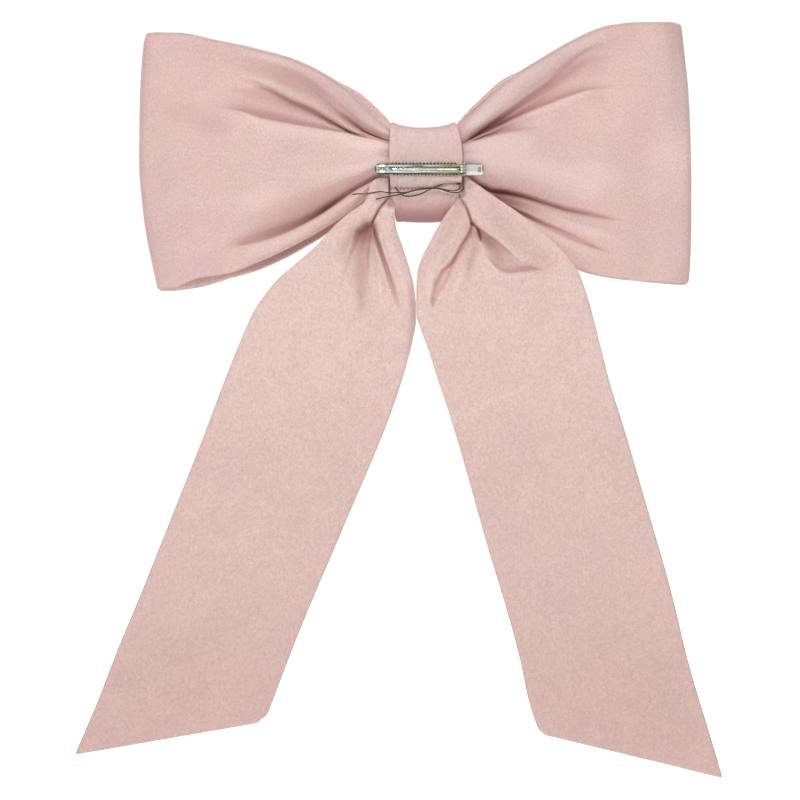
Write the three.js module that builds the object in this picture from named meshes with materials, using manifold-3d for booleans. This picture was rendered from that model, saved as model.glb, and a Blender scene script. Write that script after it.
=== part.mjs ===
// Hair bow barrette: a long-tailed velvet bow sewn on to a French (auto clasp) hair clip.
// Units are millimetres. +X is the wearer-side right of the bow seen from the hair side,
// +Z is up, -Y points to the hair and +Y is the show side of the bow.
// The origin is the middle of the centre band's front face, level with the middle of the clip.
// While the pieces are made, Y is counted from the face of the base plate that the bow is sewn to;
// the whole group is moved back by BAND_FRONT_Y at the end.

import * as THREE from 'three';
import { mergeVertices } from 'three/addons/utils/BufferGeometryUtils.js';
import Module from 'manifold-3d';

const wasm = await Module();
wasm.setup();

// ---------------------------------------------------------------- driving dimensions
// clip
const BAND_FRONT_Y = 27.2;      // from the base plate's sewn face to the band's front face
const PLATE_T = 0.5;            // sheet thickness of base plate and arm
const PLATE_X0 = -24.3;         // free (catch) end of the base plate
const PLATE_X1 = 25.0;          // rounded tab beyond the hinge
const PLATE_HALF = 2.05;        // half width where the plate is bound with thread
const TAB_HALF = 2.6;           // half width of the tab beyond the hinge
const TAB_HOLE = [22.5, 23.9, 1.2];
const HINGE = [16.0, -3.2];     // hinge axis in X, Y; it runs along Z
const PIN_R = 0.5;
const PIN_CLEAR = 0.08;
const EAR_IN = 2.2, EAR_OUT = 2.6;
const KNUCKLE_R = 1.1;
const ARM_TIP_X = -25.1;
const ARM_FACE_Y = -6.0;        // outer face of the arm, towards the scalp
const ARM_TIP_Y = -5.0;         // outer face of the stepped tip
const WINDOW = [-23.4, -20.1, 1.35];
const SLOT = [-18.9, 14.0, 0.95];
const SPRING_X = [-17.4, 13.85];
const SPRING_END_Y = -2.1, SPRING_CROWN_Y = -3.9, SPRING_T = 0.25, SPRING_HALF = 0.75;
const JAW_PIVOT_Y = -1.25, JAW_Z = 1.0;
// thread
const BIND_PITCH = 1.65, BIND_R = 0.17;
const STITCH_PITCH = 1.75, STITCH_R = 0.14;
const SEW_R = 0.2;
const GATHER_R = 0.3;
// velvet
const VELVET = 1.2;             // one velvet layer
const LAYER_GAP = 0.2;
const BAND_T = 1.4;             // folded band strip
const FLEX_Z = -50.0;           // the line each tail bends at
const FLEX_GAP = 2.0;
const TAIL_BACK_Y = 0.2;

// ---------------------------------------------------------------- helpers
const lerp = (a, b, t) => a + (b - a) * t;

function table(rows, x) {
  if (x <= rows[0][0]) return rows[0][1];
  for (let i = 1; i < rows.length; i++) {
    if (x <= rows[i][0]) {
      const [x0, y0] = rows[i - 1], [x1, y1] = rows[i];
      return lerp(y0, y1, (x - x0) / (x1 - x0));
    }
  }
  return rows[rows.length - 1][1];
}

function volumeOf(pos, idx) {
  let v = 0;
  for (let i = 0; i < idx.length; i += 3) {
    const a = idx[i] * 3, b = idx[i + 1] * 3, c = idx[i + 2] * 3;
    v += pos[a] * (pos[b + 1] * pos[c + 2] - pos[b + 2] * pos[c + 1])
       - pos[a + 1] * (pos[b] * pos[c + 2] - pos[b + 2] * pos[c])
       + pos[a + 2] * (pos[b] * pos[c + 1] - pos[b + 1] * pos[c]);
  }
  return v / 6;
}

// A sheet with thickness: A and B are grids [i][j] of points on its two faces.
// With closed true the sheet is a ring along i.
function sheet(A, B, closed) {
  const m = A.length, n = A[0].length, pos = [], idx = [];
  for (const G of [A, B]) for (const row of G) for (const p of row) pos.push(...p);
  const a = (i, j) => (i % m) * n + j, b = (i, j) => m * n + (i % m) * n + j;
  const quad = (p, q, r, s) => idx.push(p, q, r, p, r, s);
  const last = closed ? m : m - 1;
  for (let i = 0; i < last; i++) {
    for (let j = 0; j < n - 1; j++) {
      quad(a(i, j), a(i + 1, j), a(i + 1, j + 1), a(i, j + 1));
      quad(b(i, j), b(i, j + 1), b(i + 1, j + 1), b(i + 1, j));
    }
    quad(a(i, 0), b(i, 0), b(i + 1, 0), a(i + 1, 0));
    quad(a(i, n - 1), a(i + 1, n - 1), b(i + 1, n - 1), b(i, n - 1));
  }
  if (!closed) {
    for (let j = 0; j < n - 1; j++) {
      quad(a(0, j), a(0, j + 1), b(0, j + 1), b(0, j));
      quad(a(m - 1, j), b(m - 1, j), b(m - 1, j + 1), a(m - 1, j + 1));
    }
  }
  if (volumeOf(pos, idx) < 0) {
    for (let i = 0; i < idx.length; i += 3) [idx[i + 1], idx[i + 2]] = [idx[i + 2], idx[i + 1]];
  }
  const g = new THREE.BufferGeometry();
  g.setAttribute('position', new THREE.Float32BufferAttribute(pos, 3));
  g.setIndex(idx);
  g.computeVertexNormals();
  return g;
}

// outline in X, Z made into a plate from y0 to y1
function plateXZ(shape, y0, y1, segs = 10) {
  const g = new THREE.ExtrudeGeometry(shape, { depth: y1 - y0, bevelEnabled: false, curveSegments: segs });
  g.rotateX(Math.PI / 2);
  g.translate(0, y1, 0);
  return g;
}

// outline in X, Y made into a bar from z0 to z1
function barXY(shape, z0, z1, segs = 10) {
  const g = new THREE.ExtrudeGeometry(shape, { depth: z1 - z0, bevelEnabled: false, curveSegments: segs });
  g.translate(0, 0, z0);
  return g;
}

const polygon = (pts) => new THREE.Shape(pts.map(([x, y]) => new THREE.Vector2(x, y)));

function rect(x0, x1, z0, z1) {
  return polygon([[x0, z0], [x1, z0], [x1, z1], [x0, z1]]);
}

function cylinderAlong(axis, r, a, b, cx, cy, segs = 24) {
  const g = new THREE.CylinderGeometry(r, r, b - a, segs);   // along local Y
  g.translate(0, (a + b) / 2, 0);
  if (axis === 'z') { g.rotateX(Math.PI / 2); g.translate(cx, cy, 0); }
  else g.translate(cx, 0, cy);
  return g;
}

function solid(g) {
  const c = g.clone();
  c.deleteAttribute('normal');
  c.deleteAttribute('uv');
  const m = mergeVertices(c, 1e-4);
  return new wasm.Manifold(new wasm.Mesh({
    numProp: 3,
    vertProperties: new Float32Array(m.attributes.position.array),
    triVerts: new Uint32Array(m.index.array),
  }));
}

function geometry(man) {
  const m = man.getMesh();
  const g = new THREE.BufferGeometry();
  const p = new Float32Array(m.numVert * 3);
  for (let i = 0; i < m.numVert; i++) for (let k = 0; k < 3; k++) p[3 * i + k] = m.vertProperties[m.numProp * i + k];
  g.setAttribute('position', new THREE.BufferAttribute(p, 3));
  g.setIndex(new THREE.BufferAttribute(new Uint32Array(m.triVerts), 1));
  g.computeVertexNormals();
  return g;
}

// a thread: a round section carried along a smooth curve through the given points
function thread(points, r, steps, sides = 6, tension = 'centripetal') {
  const curve = new THREE.CatmullRomCurve3(points.map((p) => new THREE.Vector3(...p)), false, tension);
  const section = new THREE.Shape();
  for (let i = 0; i < sides; i++) {
    const t = (2 * Math.PI * i) / sides;
    if (i === 0) section.moveTo(r, 0); else section.lineTo(r * Math.cos(t), r * Math.sin(t));
  }
  section.closePath();
  return new THREE.ExtrudeGeometry(section, { steps, bevelEnabled: false, extrudePath: curve });
}

// ---------------------------------------------------------------- materials
const nickel = (c = 0xcfd0cc, r = 0.22) => new THREE.MeshStandardMaterial({ color: c, roughness: r, metalness: 1.0 });
const velvet = (c) => new THREE.MeshStandardMaterial({ color: c, roughness: 0.95, metalness: 0.0 });
const cotton = (c) => new THREE.MeshStandardMaterial({ color: c, roughness: 0.8, metalness: 0.0 });

const group = new THREE.Group();
function add(name, geom, material, parent = group) {
  const mesh = new THREE.Mesh(geom, material);
  mesh.name = name;
  parent.add(mesh);
  return mesh;
}

// ================================================================ clip
const clip = new THREE.Group();
group.add(clip);

// base plate: narrow strip, round tab beyond the hinge, two ears, two spring stops
{
  const s = new THREE.Shape();
  s.moveTo(PLATE_X0 + 1.6, -2.3);
  s.lineTo(-18.6, -2.3);
  s.lineTo(-18.0, -PLATE_HALF);
  s.lineTo(14.4, -PLATE_HALF);
  s.lineTo(14.8, -TAB_HALF);
  s.lineTo(PLATE_X1 - 1.5, -TAB_HALF);
  s.absarc(PLATE_X1 - 1.5, -TAB_HALF + 1.5, 1.5, -Math.PI / 2, 0, false);
  s.lineTo(PLATE_X1, TAB_HALF - 1.5);
  s.absarc(PLATE_X1 - 1.5, TAB_HALF - 1.5, 1.5, 0, Math.PI / 2, false);
  s.lineTo(14.8, TAB_HALF);
  s.lineTo(14.4, PLATE_HALF);
  s.lineTo(-18.0, PLATE_HALF);
  s.lineTo(-18.6, 2.3);
  s.lineTo(PLATE_X0 + 1.6, 2.3);
  s.absarc(PLATE_X0 + 1.6, 0.7, 1.6, Math.PI / 2, Math.PI, false);
  s.lineTo(PLATE_X0, -0.7);
  s.absarc(PLATE_X0 + 1.6, -0.7, 1.6, Math.PI, 1.5 * Math.PI, false);
  let base = solid(plateXZ(s, -PLATE_T, 0, 8));
  for (const side of [-1, 1]) {
    const ear = polygon([[14.8, -0.2], [14.8, -3.2], [15.1, -4.0], [16.0, -4.4], [16.9, -4.0], [17.2, -3.2], [17.2, -0.2]]);
    const z0 = side < 0 ? -EAR_OUT : EAR_IN, z1 = side < 0 ? -EAR_IN : EAR_OUT;
    base = base.add(solid(barXY(ear, z0, z1)));
  }
  for (const x of [SPRING_X[0] - 0.5, SPRING_X[1] + 0.2]) {
    base = base.add(solid(plateXZ(rect(x, x + 0.3, -0.9, 0.9), -2.9, -0.2)));
  }
  base = base.subtract(solid(plateXZ(rect(TAB_HOLE[0], TAB_HOLE[1], -TAB_HOLE[2], TAB_HOLE[2]), -2, 1)));
  base = base.subtract(solid(cylinderAlong('y', 0.6, -2, 1, -21.75, 0, 16)));
  base = base.subtract(solid(cylinderAlong('z', PIN_R + PIN_CLEAR, -4, 4, HINGE[0], HINGE[1])));
  add('clip_base_plate', geometry(base), nickel(), clip);
}

// hinge pin, peened at both ends
{
  let pin = solid(cylinderAlong('z', PIN_R, -2.75, 2.75, HINGE[0], HINGE[1]));
  pin = pin.add(solid(cylinderAlong('z', 0.8, 2.68, 2.95, HINGE[0], HINGE[1])));
  pin = pin.add(solid(cylinderAlong('z', 0.8, -2.95, -2.68, HINGE[0], HINGE[1])));
  add('clip_hinge_pin', geometry(pin), nickel(0xb8b9b5, 0.3), clip);
}

// arm: stepped tip with a catch window, a long slot, and a curl round the hinge pin
{
  const profile = polygon([
    [ARM_TIP_X, ARM_TIP_Y], [-19.9, ARM_TIP_Y], [-18.6, ARM_FACE_Y], [14.4, ARM_FACE_Y], [15.8, -5.5], [16.9, -4.1], [17.0, -3.2],
    [15.2, -3.2], [15.2, -4.1], [14.2, ARM_FACE_Y + PLATE_T], [-18.4, ARM_FACE_Y + PLATE_T], [-19.7, ARM_TIP_Y + PLATE_T], [ARM_TIP_X, ARM_TIP_Y + PLATE_T],
  ].reverse());
  let arm = solid(barXY(profile, -2.4, 2.4));
  arm = arm.add(solid(cylinderAlong('z', KNUCKLE_R, -1.9, 1.9, HINGE[0], HINGE[1])));
  const s = new THREE.Shape();
  s.moveTo(ARM_TIP_X + 1.9, -2.35);
  s.lineTo(-18.0, -2.35);
  s.lineTo(0, -2.1);
  s.lineTo(14.0, -2.1);
  s.lineTo(14.2, -1.9);
  s.lineTo(17.4, -1.9);
  s.lineTo(17.4, 1.9);
  s.lineTo(14.2, 1.9);
  s.lineTo(14.0, 2.1);
  s.lineTo(0, 2.1);
  s.lineTo(-18.0, 2.35);
  s.lineTo(ARM_TIP_X + 1.9, 2.35);
  s.absarc(ARM_TIP_X + 1.9, 0.45, 1.9, Math.PI / 2, Math.PI, false);
  s.lineTo(ARM_TIP_X, -0.45);
  s.absarc(ARM_TIP_X + 1.9, -0.45, 1.9, Math.PI, 1.5 * Math.PI, false);
  arm = arm.intersect(solid(plateXZ(s, -8, 0, 8)));
  arm = arm.subtract(solid(plateXZ(rect(WINDOW[0], WINDOW[1], -WINDOW[2], WINDOW[2]), -8, -4)));
  arm = arm.subtract(solid(plateXZ(rect(SLOT[0], SLOT[1], -SLOT[2], SLOT[2]), -8, -4.3)));
  arm = arm.subtract(solid(cylinderAlong('z', PIN_R + PIN_CLEAR, -4, 4, HINGE[0], HINGE[1])));
  add('clip_arm', geometry(arm), nickel(0xd6d7d2, 0.18), clip);
}

// tension spring: bowed leaf between the two stops
{
  const n = 20, A = [], B = [];
  for (let i = 0; i <= n; i++) {
    const t = i / n, x = lerp(SPRING_X[0], SPRING_X[1], t);
    const bow = Math.sin(Math.PI * t) ** 0.9;
    const y = lerp(SPRING_END_Y, SPRING_CROWN_Y + SPRING_T, bow);
    A.push([[x, y - SPRING_T, -SPRING_HALF], [x, y - SPRING_T, SPRING_HALF]]);
    B.push([[x, y, -SPRING_HALF], [x, y, SPRING_HALF]]);
  }
  add('clip_tension_spring', sheet(A, B, false), nickel(0xe4e4df, 0.12), clip);
}

// catch: bracket, rivet and two pinch jaws whose barbs hold the arm's window
{
  let bracket = solid(plateXZ(rect(-23.4, -20.0, -1.75, 1.75), -1.0, -0.55));
  bracket = bracket.subtract(solid(cylinderAlong('y', 0.6, -2, 1, -21.75, 0, 16)));
  add('catch_bracket', geometry(bracket), nickel(0xc2c3bf, 0.3), clip);

  let rivet = solid(cylinderAlong('y', 0.35, -1.3, 0.3, -21.75, 0, 14));
  rivet = rivet.add(solid(cylinderAlong('y', 0.65, -1.35, -1.05, -21.75, 0, 14)));
  rivet = rivet.add(solid(cylinderAlong('y', 0.95, 0.06, 0.36, -21.75, 0, 14)));
  add('catch_rivet', geometry(rivet), nickel(0xb4b5b1, 0.3), clip);

  for (const [name, side] of [['catch_jaw_upper', 1], ['catch_jaw_lower', -1]]) {
    // profile in Y, Z
    const yz = [[-1.15, 0.85], [-5.95, 0.85], [-5.95, 1.2], [-5.4, 1.85], [-5.3, 1.15], [-3.9, 1.15], [-3.2, 2.2], [-2.5, 2.2], [-1.9, 1.2], [-1.15, 1.15]];
    const A = [], x0 = -23.05, x1 = -20.45;
    const shape = polygon(side > 0 ? yz.map(([y, z]) => [y, z]) : yz.map(([y, z]) => [y, -z]).reverse());
    // extruded along local Z, then turned so that (x, y, z) becomes (z, x, y)
    const g = new THREE.ExtrudeGeometry(shape, { depth: x1 - x0, bevelEnabled: false });
    g.applyMatrix4(new THREE.Matrix4().set(0, 0, 1, x0, 1, 0, 0, 0, 0, 1, 0, 0, 0, 0, 0, 1));
    add(name, g, nickel(0xbdbeb9, 0.25), clip);
  }
}

// ================================================================ loops
const LEFT_TOP = [[-134, 64.0], [-117.8, 63.5], [-97.3, 59.8], [-80.6, 56.4], [-64.9, 52.3], [-55.8, 48.6], [-42.7, 41.2], [-31.1, 34.1], [-22.8, 26.0], [-18.4, 19.6], [-12, 18.6], [-1.5, 18.6]];
const LEFT_BOTTOM = [[-134, -56.1], [-109.5, -54.7], [-93.1, -50.6], [-80.6, -47.3], [-68.1, -42.2], [-55.8, -35.7], [-43.6, -26.0], [-35.3, -18.2], [-27, -9.9], [-19.6, -3.9], [-12, -3.6], [-1.5, -3.6]];
const RIGHT_TOP = [[-1.5, 18.6], [9, 18.6], [15.8, 19.6], [22.5, 30.0], [33.8, 41.9], [43.3, 46.6], [52.6, 52.3], [66.9, 60.3], [76.3, 64.6], [83.9, 66.9], [99.8, 68.5], [114.1, 68.5], [121, 67.0]];
const RIGHT_BOTTOM = [[-1.5, -3.6], [9, -3.6], [15.8, -3.9], [22, -8], [30, -16], [42, -28], [55, -38], [68.8, -46.4], [76.2, -48.7], [90.5, -51.0], [109.3, -52.4], [121, -53.3]];
const LEFT_EDGE = [[-55.2, -124.1], [-42.7, -126.9], [-23.3, -130.6], [4.5, -133.8], [27.6, -134.0], [57.7, -132.4], [63.9, -131.0]];
const RIGHT_EDGE = [[-53.0, 119.0], [-44.1, 120.6], [-29.7, 121.0], [-11.0, 121.0], [12.8, 120.6], [36.4, 119.6], [55.1, 117.8], [66.9, 116.9]];

const PLAN = [
  [-1.5, 11.0], [-10, 11.0], [-18.6, 10.7], [-25, 9.4], [-34, 7.6], [-52, 5.4], [-76, 4.3], [-100, 6.0], [-119, 10.5], [-130.5, 15.0],
  [-133.8, 19.5], [-131, 24.2], [-119, 28.5], [-100, 33.0], [-76, 36.0], [-52, 35.0], [-33, 30.2], [-25, 27.0], [-18.6, 24.9], [-10, 24.5],
  [-1.5, 24.5], [7, 24.5], [15.6, 24.9], [22, 27.0], [30, 30.2], [48, 35.0], [70, 36.0], [92, 33.0], [108, 28.5], [118.2, 24.2],
  [121, 19.5], [117.8, 15.0], [108, 10.5], [92, 6.0], [70, 4.3], [48, 5.4], [31, 7.6], [22, 9.4], [15.6, 10.7], [7, 11.0],
];

function loopRing(depthIn, depthOut, inset) {
  const curve = new THREE.CatmullRomCurve3(PLAN.map(([x, y]) => new THREE.Vector3(x, y, 0)), true, 'centripetal');
  const m = 72, n = 5, A = [], B = [];
  for (let i = 0; i < m; i++) {
    const u = i / m, p = curve.getPoint(u), t = curve.getTangent(u);
    // the plan runs clockwise seen from +Z on the left, so the inward normal is found from the centre plane
    let nx = -t.y, ny = t.x;
    const nl = Math.hypot(nx, ny); nx /= nl; ny /= nl;
    if (i === 0) loopRing.sign = ny > 0 ? 1 : -1;
    nx *= loopRing.sign; ny *= loopRing.sign;
    // gathered layers are thicker at the waist
    const waist = Math.max(0, 1 - Math.max(0, Math.abs(p.x + 1.5) - 17) / 12);
    const g = waist * waist * (3 - 2 * waist);
    const d0 = lerp(depthIn[0], depthIn[1], g), d1 = lerp(depthOut[0], depthOut[1], g);
    const rowA = [], rowB = [];
    for (let j = 0; j < n; j++) {
      const v = j / (n - 1);
      const top = p.x < -1.5 ? table(LEFT_TOP, p.x) : table(RIGHT_TOP, p.x);
      const bottom = p.x < -1.5 ? table(LEFT_BOTTOM, p.x) : table(RIGHT_BOTTOM, p.x);
      const z = lerp(bottom + inset, top - inset, v);
      const w = Math.abs(p.x / (p.x < 0 ? 133.8 : 121)) ** 4;
      const shift = p.x < 0 ? (table(LEFT_EDGE, z) + 134.0) * w : (table(RIGHT_EDGE, z) - 121.0) * w;
      rowA.push([p.x + nx * d0 + shift, p.y + ny * d0, z]);
      rowB.push([p.x + nx * d1 + shift, p.y + ny * d1, z]);
    }
    A.push(rowA); B.push(rowB);
  }
  return sheet(A, B, true);
}
const loops = new THREE.Group();
group.add(loops);
add('loops_outer_layer', loopRing([0, 0], [VELVET, 3.1], 0), velvet(0xdfbab6), loops);
add('loops_inner_layer', loopRing([VELVET + LAYER_GAP, 3.3], [2 * VELVET + LAYER_GAP, 6.3], 1.2), velvet(0xdab3af), loops);

// thread wound three times round the gathered waist of the loops
{
  const ring = [[10.42, -3.7], [10.42, 7.5], [10.42, 18.7], [11.0, 19.35], [17.75, 19.3], [24.5, 19.35], [25.08, 18.7], [25.08, 7.5], [25.08, -3.7], [24.5, -4.35], [17.75, -4.3], [11.0, -4.35]];
  const pts = [], turns = 3;
  for (let k = 0; k <= turns * ring.length; k++) {
    const [y, z] = ring[k % ring.length];
    pts.push([-2.9 + (0.9 * k) / ring.length, y, z]);
  }
  add('gathering_thread', thread(pts, GATHER_R, 108, 5), cotton(0xe7d3cd), loops);
}

// ================================================================ tails
// one doubled strip crosses behind the loops inside the band; both ends hang down.
// Stations from the left bend line, through the band, to the right bend line:
// upper/outer edge X, Z, lower/inner edge X, Z, back face Y, layer thickness
const STRIP = [
  [-68.4, FLEX_Z + FLEX_GAP / 2, -8.4, FLEX_Z + FLEX_GAP / 2, TAIL_BACK_Y, 1.2],
  [-61.7, -43.4, -9.8, -43.8, TAIL_BACK_Y, 1.2],
  [-51.0, -33.8, -12.6, -36.0, 0.3, 1.2],
  [-40.5, -23.0, -15.0, -30.0, 0.8, 1.2],
  [-31.5, -15.5, -17.0, -26.0, 1.8, 1.4],
  [-25.6, -8.6, -18.6, -22.6, 2.8, 1.8],
  [-20.8, -4.8, -19.2, -20.6, 3.7, 2.5],
  [-14.0, -4.3, -14.0, -20.4, 4.2, 2.7],
  [-2.0, -4.3, -2.0, -20.4, 4.2, 2.7],
  [11.0, -4.3, 11.0, -20.2, 4.2, 2.7],
  [18.6, -4.6, 17.6, -20.0, 3.7, 2.4],
  [26.0, -9.8, 16.8, -24.4, 2.8, 1.8],
  [36.5, -16.8, 12.5, -28.4, 1.6, 1.4],
  [47.5, -24.6, 5.5, -31.5, 0.7, 1.2],
  [57.2, -33.3, 0.0, -37.5, 0.3, 1.2],
  [64.6, -40.7, -3.6, -43.8, TAIL_BACK_Y, 1.2],
  [69.6, FLEX_Z + FLEX_GAP / 2, -5.5, FLEX_Z + FLEX_GAP / 2, TAIL_BACK_Y, 1.2],
];
const tails = new THREE.Group();
group.add(tails);
function stripLayer(front) {
  const A = [], B = [], n = 5;
  for (const [ax, az, bx, bz, y, t] of STRIP) {
    const a = front ? y + t + LAYER_GAP : y, b = a + t, ra = [], rb = [];
    for (let j = 0; j < n; j++) {
      const v = j / (n - 1);
      ra.push([lerp(ax, bx, v), a, lerp(az, bz, v)]);
      rb.push([lerp(ax, bx, v), b, lerp(az, bz, v)]);
    }
    A.push(ra); B.push(rb);
  }
  return sheet(A, B, false);
}
add('tail_strip_back_layer', stripLayer(false), velvet(0xdcb7b3), tails);
add('tail_strip_front_layer', stripLayer(true), velvet(0xdfbab6), tails);

const LT_OUTER = [[-70.4, -51.0], [-76.5, -58.6], [-80.8, -64.9], [-82.9, -69.1], [-95, -98.8], [-112, -141.3], [-134.7, -199.0], [-144.0, -221.0], [-152.4, -243.0], [-163.9, -270.4]];
const LT_INNER = [[-8.0, -51.0], [-6.6, -60.0], [-6.2, -69.0], [-7.5, -77.7], [-10.0, -88.3], [-18.8, -115.3], [-40, -166], [-59.8, -213.2], [-71.8, -244.3], [-76.4, -258.0]];
const RT_OUTER = [[70.6, -51.0], [75.0, -65.1], [78.7, -79.7], [83.8, -99.6], [88.2, -113.7], [100, -154.3], [113.0, -199.0], [119.6, -226.3], [132.6, -270.2], [135.7, -282.6]];
const RT_INNER = [[-5.5, -51.0], [-4.8, -62.0], [-2.6, -72.0], [1.2, -86.0], [7.0, -105.0], [18, -143], [30, -185], [41.9, -226.8], [45.6, -244.3], [52.0, -261.3]];
function tailLayer(outer, inner, front) {
  const A = [], B = [], n = 6, m = outer.length;
  for (let i = 0; i < m; i++) {
    const t = i / (m - 1), y = TAIL_BACK_Y + 1.6 * t * t + (front ? VELVET + LAYER_GAP : 0), ra = [], rb = [];
    for (let j = 0; j < n; j++) {
      const v = j / (n - 1), x = lerp(outer[i][0], inner[i][0], v), z = lerp(outer[i][1], inner[i][1], v);
      ra.push([x, y, z]);
      rb.push([x, y + VELVET, z]);
    }
    A.push(ra); B.push(rb);
  }
  return sheet(A, B, false);
}
add('left_tail_back_layer', tailLayer(LT_OUTER, LT_INNER, false), velvet(0xd9b5b2), tails);
add('left_tail_front_layer', tailLayer(LT_OUTER, LT_INNER, true), velvet(0xdfbab6), tails);
add('right_tail_back_layer', tailLayer(RT_OUTER, RT_INNER, false), velvet(0xd9b5b2), tails);
add('right_tail_front_layer', tailLayer(RT_OUTER, RT_INNER, true), velvet(0xdfbab6), tails);

// ================================================================ band
const BAND_LEFT = [[-23.9, -15.1], [-19.6, -16.0], [-12.6, -17.4], [-7.9, -17.9], [-3.7, -18.4], [12.4, -18.4], [18.1, -17.9], [22.3, -16.9]];
const BAND_RIGHT = [[-23.9, 11.6], [-19.6, 12.4], [-12.2, 13.6], [-6.5, 15.1], [-3.7, 15.1], [5.9, 15.4], [12.3, 14.9], [18.1, 13.7], [22.3, 12.1]];
const HEM = [[-17.4, -7.9], [-10.8, -8.0], [0.8, -7.9], [4.8, -6.9], [9.5, -5.9], [15.1, -5.7]];
{
  // path of the strip's middle in Y, Z: hidden end, bottom, front, top, sewn-down flap
  const path = [];
  const arc = (cy, cz, r, a0, a1, k) => { for (let i = 0; i <= k; i++) { const a = lerp(a0, a1, i / k); path.push([cy + r * Math.cos(a), cz + r * Math.sin(a)]); } };
  path.push([3.1, 6], [3.1, -2], [3.1, -11]);
  arc(6.1, -20.3, 3.0, Math.PI, 1.5 * Math.PI, 4);
  path.push([14.8, -23.3]);
  arc(23.5, -20.3, 3.0, 1.5 * Math.PI, 2 * Math.PI, 4);
  path.push([26.5, 0]);
  arc(23.5, 18.6, 3.0, 0, 0.5 * Math.PI, 4);
  path.push([14.0, 21.6]);
  arc(4.5, 18.6, 3.0, 0.5 * Math.PI, Math.PI, 4);
  path.push([1.5, 10], [1.5, 1], [1.5, -8]);
  const A = [], B = [], n = 7;
  path.forEach(([y, z], i) => {
    const p = path[Math.max(0, i - 1)], q = path[Math.min(path.length - 1, i + 1)];
    let ty = q[0] - p[0], tz = q[1] - p[1];
    const l = Math.hypot(ty, tz); ty /= l; tz /= l;
    const ny = -tz, nz = ty, h = BAND_T / 2, ra = [], rb = [];
    for (let j = 0; j < n; j++) {
      const x = lerp(table(BAND_LEFT, z), table(BAND_RIGHT, z), j / (n - 1));
      let zz = z;
      if (i === path.length - 1) zz = table(HEM, x);
      ra.push([x, y + ny * h, zz + nz * h]);
      rb.push([x, y - ny * h, zz - nz * h]);
    }
    A.push(ra); B.push(rb);
  });
  add('centre_band', sheet(A, B, false), velvet(0xe0c2be));
}

// over-and-over stitches that close the band
{
  const pts = [];
  for (let k = 0; k < 18; k++) {
    const x = -16.6 + STITCH_PITCH * k;
    const h = (dx) => table(HEM, x + dx);
    pts.push([x, 0.5, h(0) + 1.0], [x + 0.4, 0.5, h(0.4) - 0.5], [x + 0.5, 2.05, h(0.5) - 0.55], [x + 0.75, 2.05, h(0.75) - 1.2], [x + 1.1, 2.05, h(1.1) - 0.55], [x + 1.2, 0.5, h(1.2) - 0.5]);
  }
  add('band_hem_stitches', thread(pts, STITCH_R, 190, 4), cotton(0xdf9e9b));
}

// ================================================================ sewing thread
const sewing = new THREE.Group();
group.add(sewing);
const at = (pts, y) => pts.map(([x, z]) => [x, y, z]);
add('sewing_thread_long_end', thread(at([[-35.5, -11.3], [-29.6, -11.3], [-22.5, -10.3], [-15.9, -10.6], [-10.3, -10.3], [-6.5, -9.4], [-0.8, -8.5], [3.9, -8.5], [8.2, -9.4], [12.3, -9.6], [14.2, -8.5], [14.5, -7.3], [12.3, -6.6]], 0.1), SEW_R, 32, 5), cotton(0x3c4632), sewing);
add('sewing_thread_short_end', thread(at([[-24.4, -13.6], [-17.8, -12.2], [-12.2, -11.1], [-6.6, -9.6], [-1.8, -8.7], [4.0, -8.6], [8.2, -9.9], [12.3, -10.5], [14.7, -9.9], [16.0, -8.0], [15.1, -6.6], [12.8, -6.3]], -0.37), SEW_R, 32, 5), cotton(0x3c4632), sewing);
add('sewing_thread_return_run', thread(at([[-15.7, -8.0], [-14.0, -10.3], [-11.7, -12.0], [-8.9, -12.3], [-4.6, -11.5], [-0.3, -9.4], [3.4, -7.7], [5.8, -6.8]], -0.84), SEW_R, 24, 5), cotton(0x3c4632), sewing);

// binding thread: sews the base plate to the band
{
  const ring = [[-0.9, -1.9], [-0.9, 1.9], [-0.55, 2.38], [0.05, 2.38], [0.4, 1.9], [0.4, -1.9], [0.05, -2.38], [-0.55, -2.38]];
  const pts = [], turns = 18;
  for (let k = 0; k <= turns * ring.length; k++) {
    const [y, z] = ring[k % ring.length];
    pts.push([-17.0 + (BIND_PITCH * k) / ring.length, y, z]);
  }
  add('clip_binding_thread', thread(pts, BIND_R, turns * 12, 4), cotton(0x3c4632), sewing);
}

group.position.y = -BAND_FRONT_Y;

export default group;
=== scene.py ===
# A velvet bow with two loops, two tails and a centre band, sewn to a sprung metal clip.
# Z is up and X runs along the clip. The clip is on the bow's back, which faces -Y, towards the
# camera, so left is -X. Modelling is in mm, with Y counted from the base plate's sewn face.
import math
import bpy
import bmesh
import numpy as np
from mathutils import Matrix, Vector


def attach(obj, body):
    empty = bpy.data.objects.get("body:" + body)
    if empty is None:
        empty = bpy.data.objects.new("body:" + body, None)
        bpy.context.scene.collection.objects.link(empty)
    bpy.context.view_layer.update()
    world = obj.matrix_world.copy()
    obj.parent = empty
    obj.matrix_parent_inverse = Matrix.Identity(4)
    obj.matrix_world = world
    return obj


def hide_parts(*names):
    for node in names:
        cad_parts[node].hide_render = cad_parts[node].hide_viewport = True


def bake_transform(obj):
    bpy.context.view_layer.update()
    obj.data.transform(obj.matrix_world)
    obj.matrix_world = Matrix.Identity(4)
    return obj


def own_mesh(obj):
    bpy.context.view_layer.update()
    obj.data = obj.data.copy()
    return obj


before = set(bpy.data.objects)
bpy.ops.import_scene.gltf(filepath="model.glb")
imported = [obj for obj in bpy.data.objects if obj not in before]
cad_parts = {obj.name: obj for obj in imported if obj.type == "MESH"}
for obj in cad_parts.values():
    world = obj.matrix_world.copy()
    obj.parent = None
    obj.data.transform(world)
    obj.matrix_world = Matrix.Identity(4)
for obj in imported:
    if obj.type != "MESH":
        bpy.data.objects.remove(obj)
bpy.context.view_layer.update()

MM = 0.001
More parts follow.
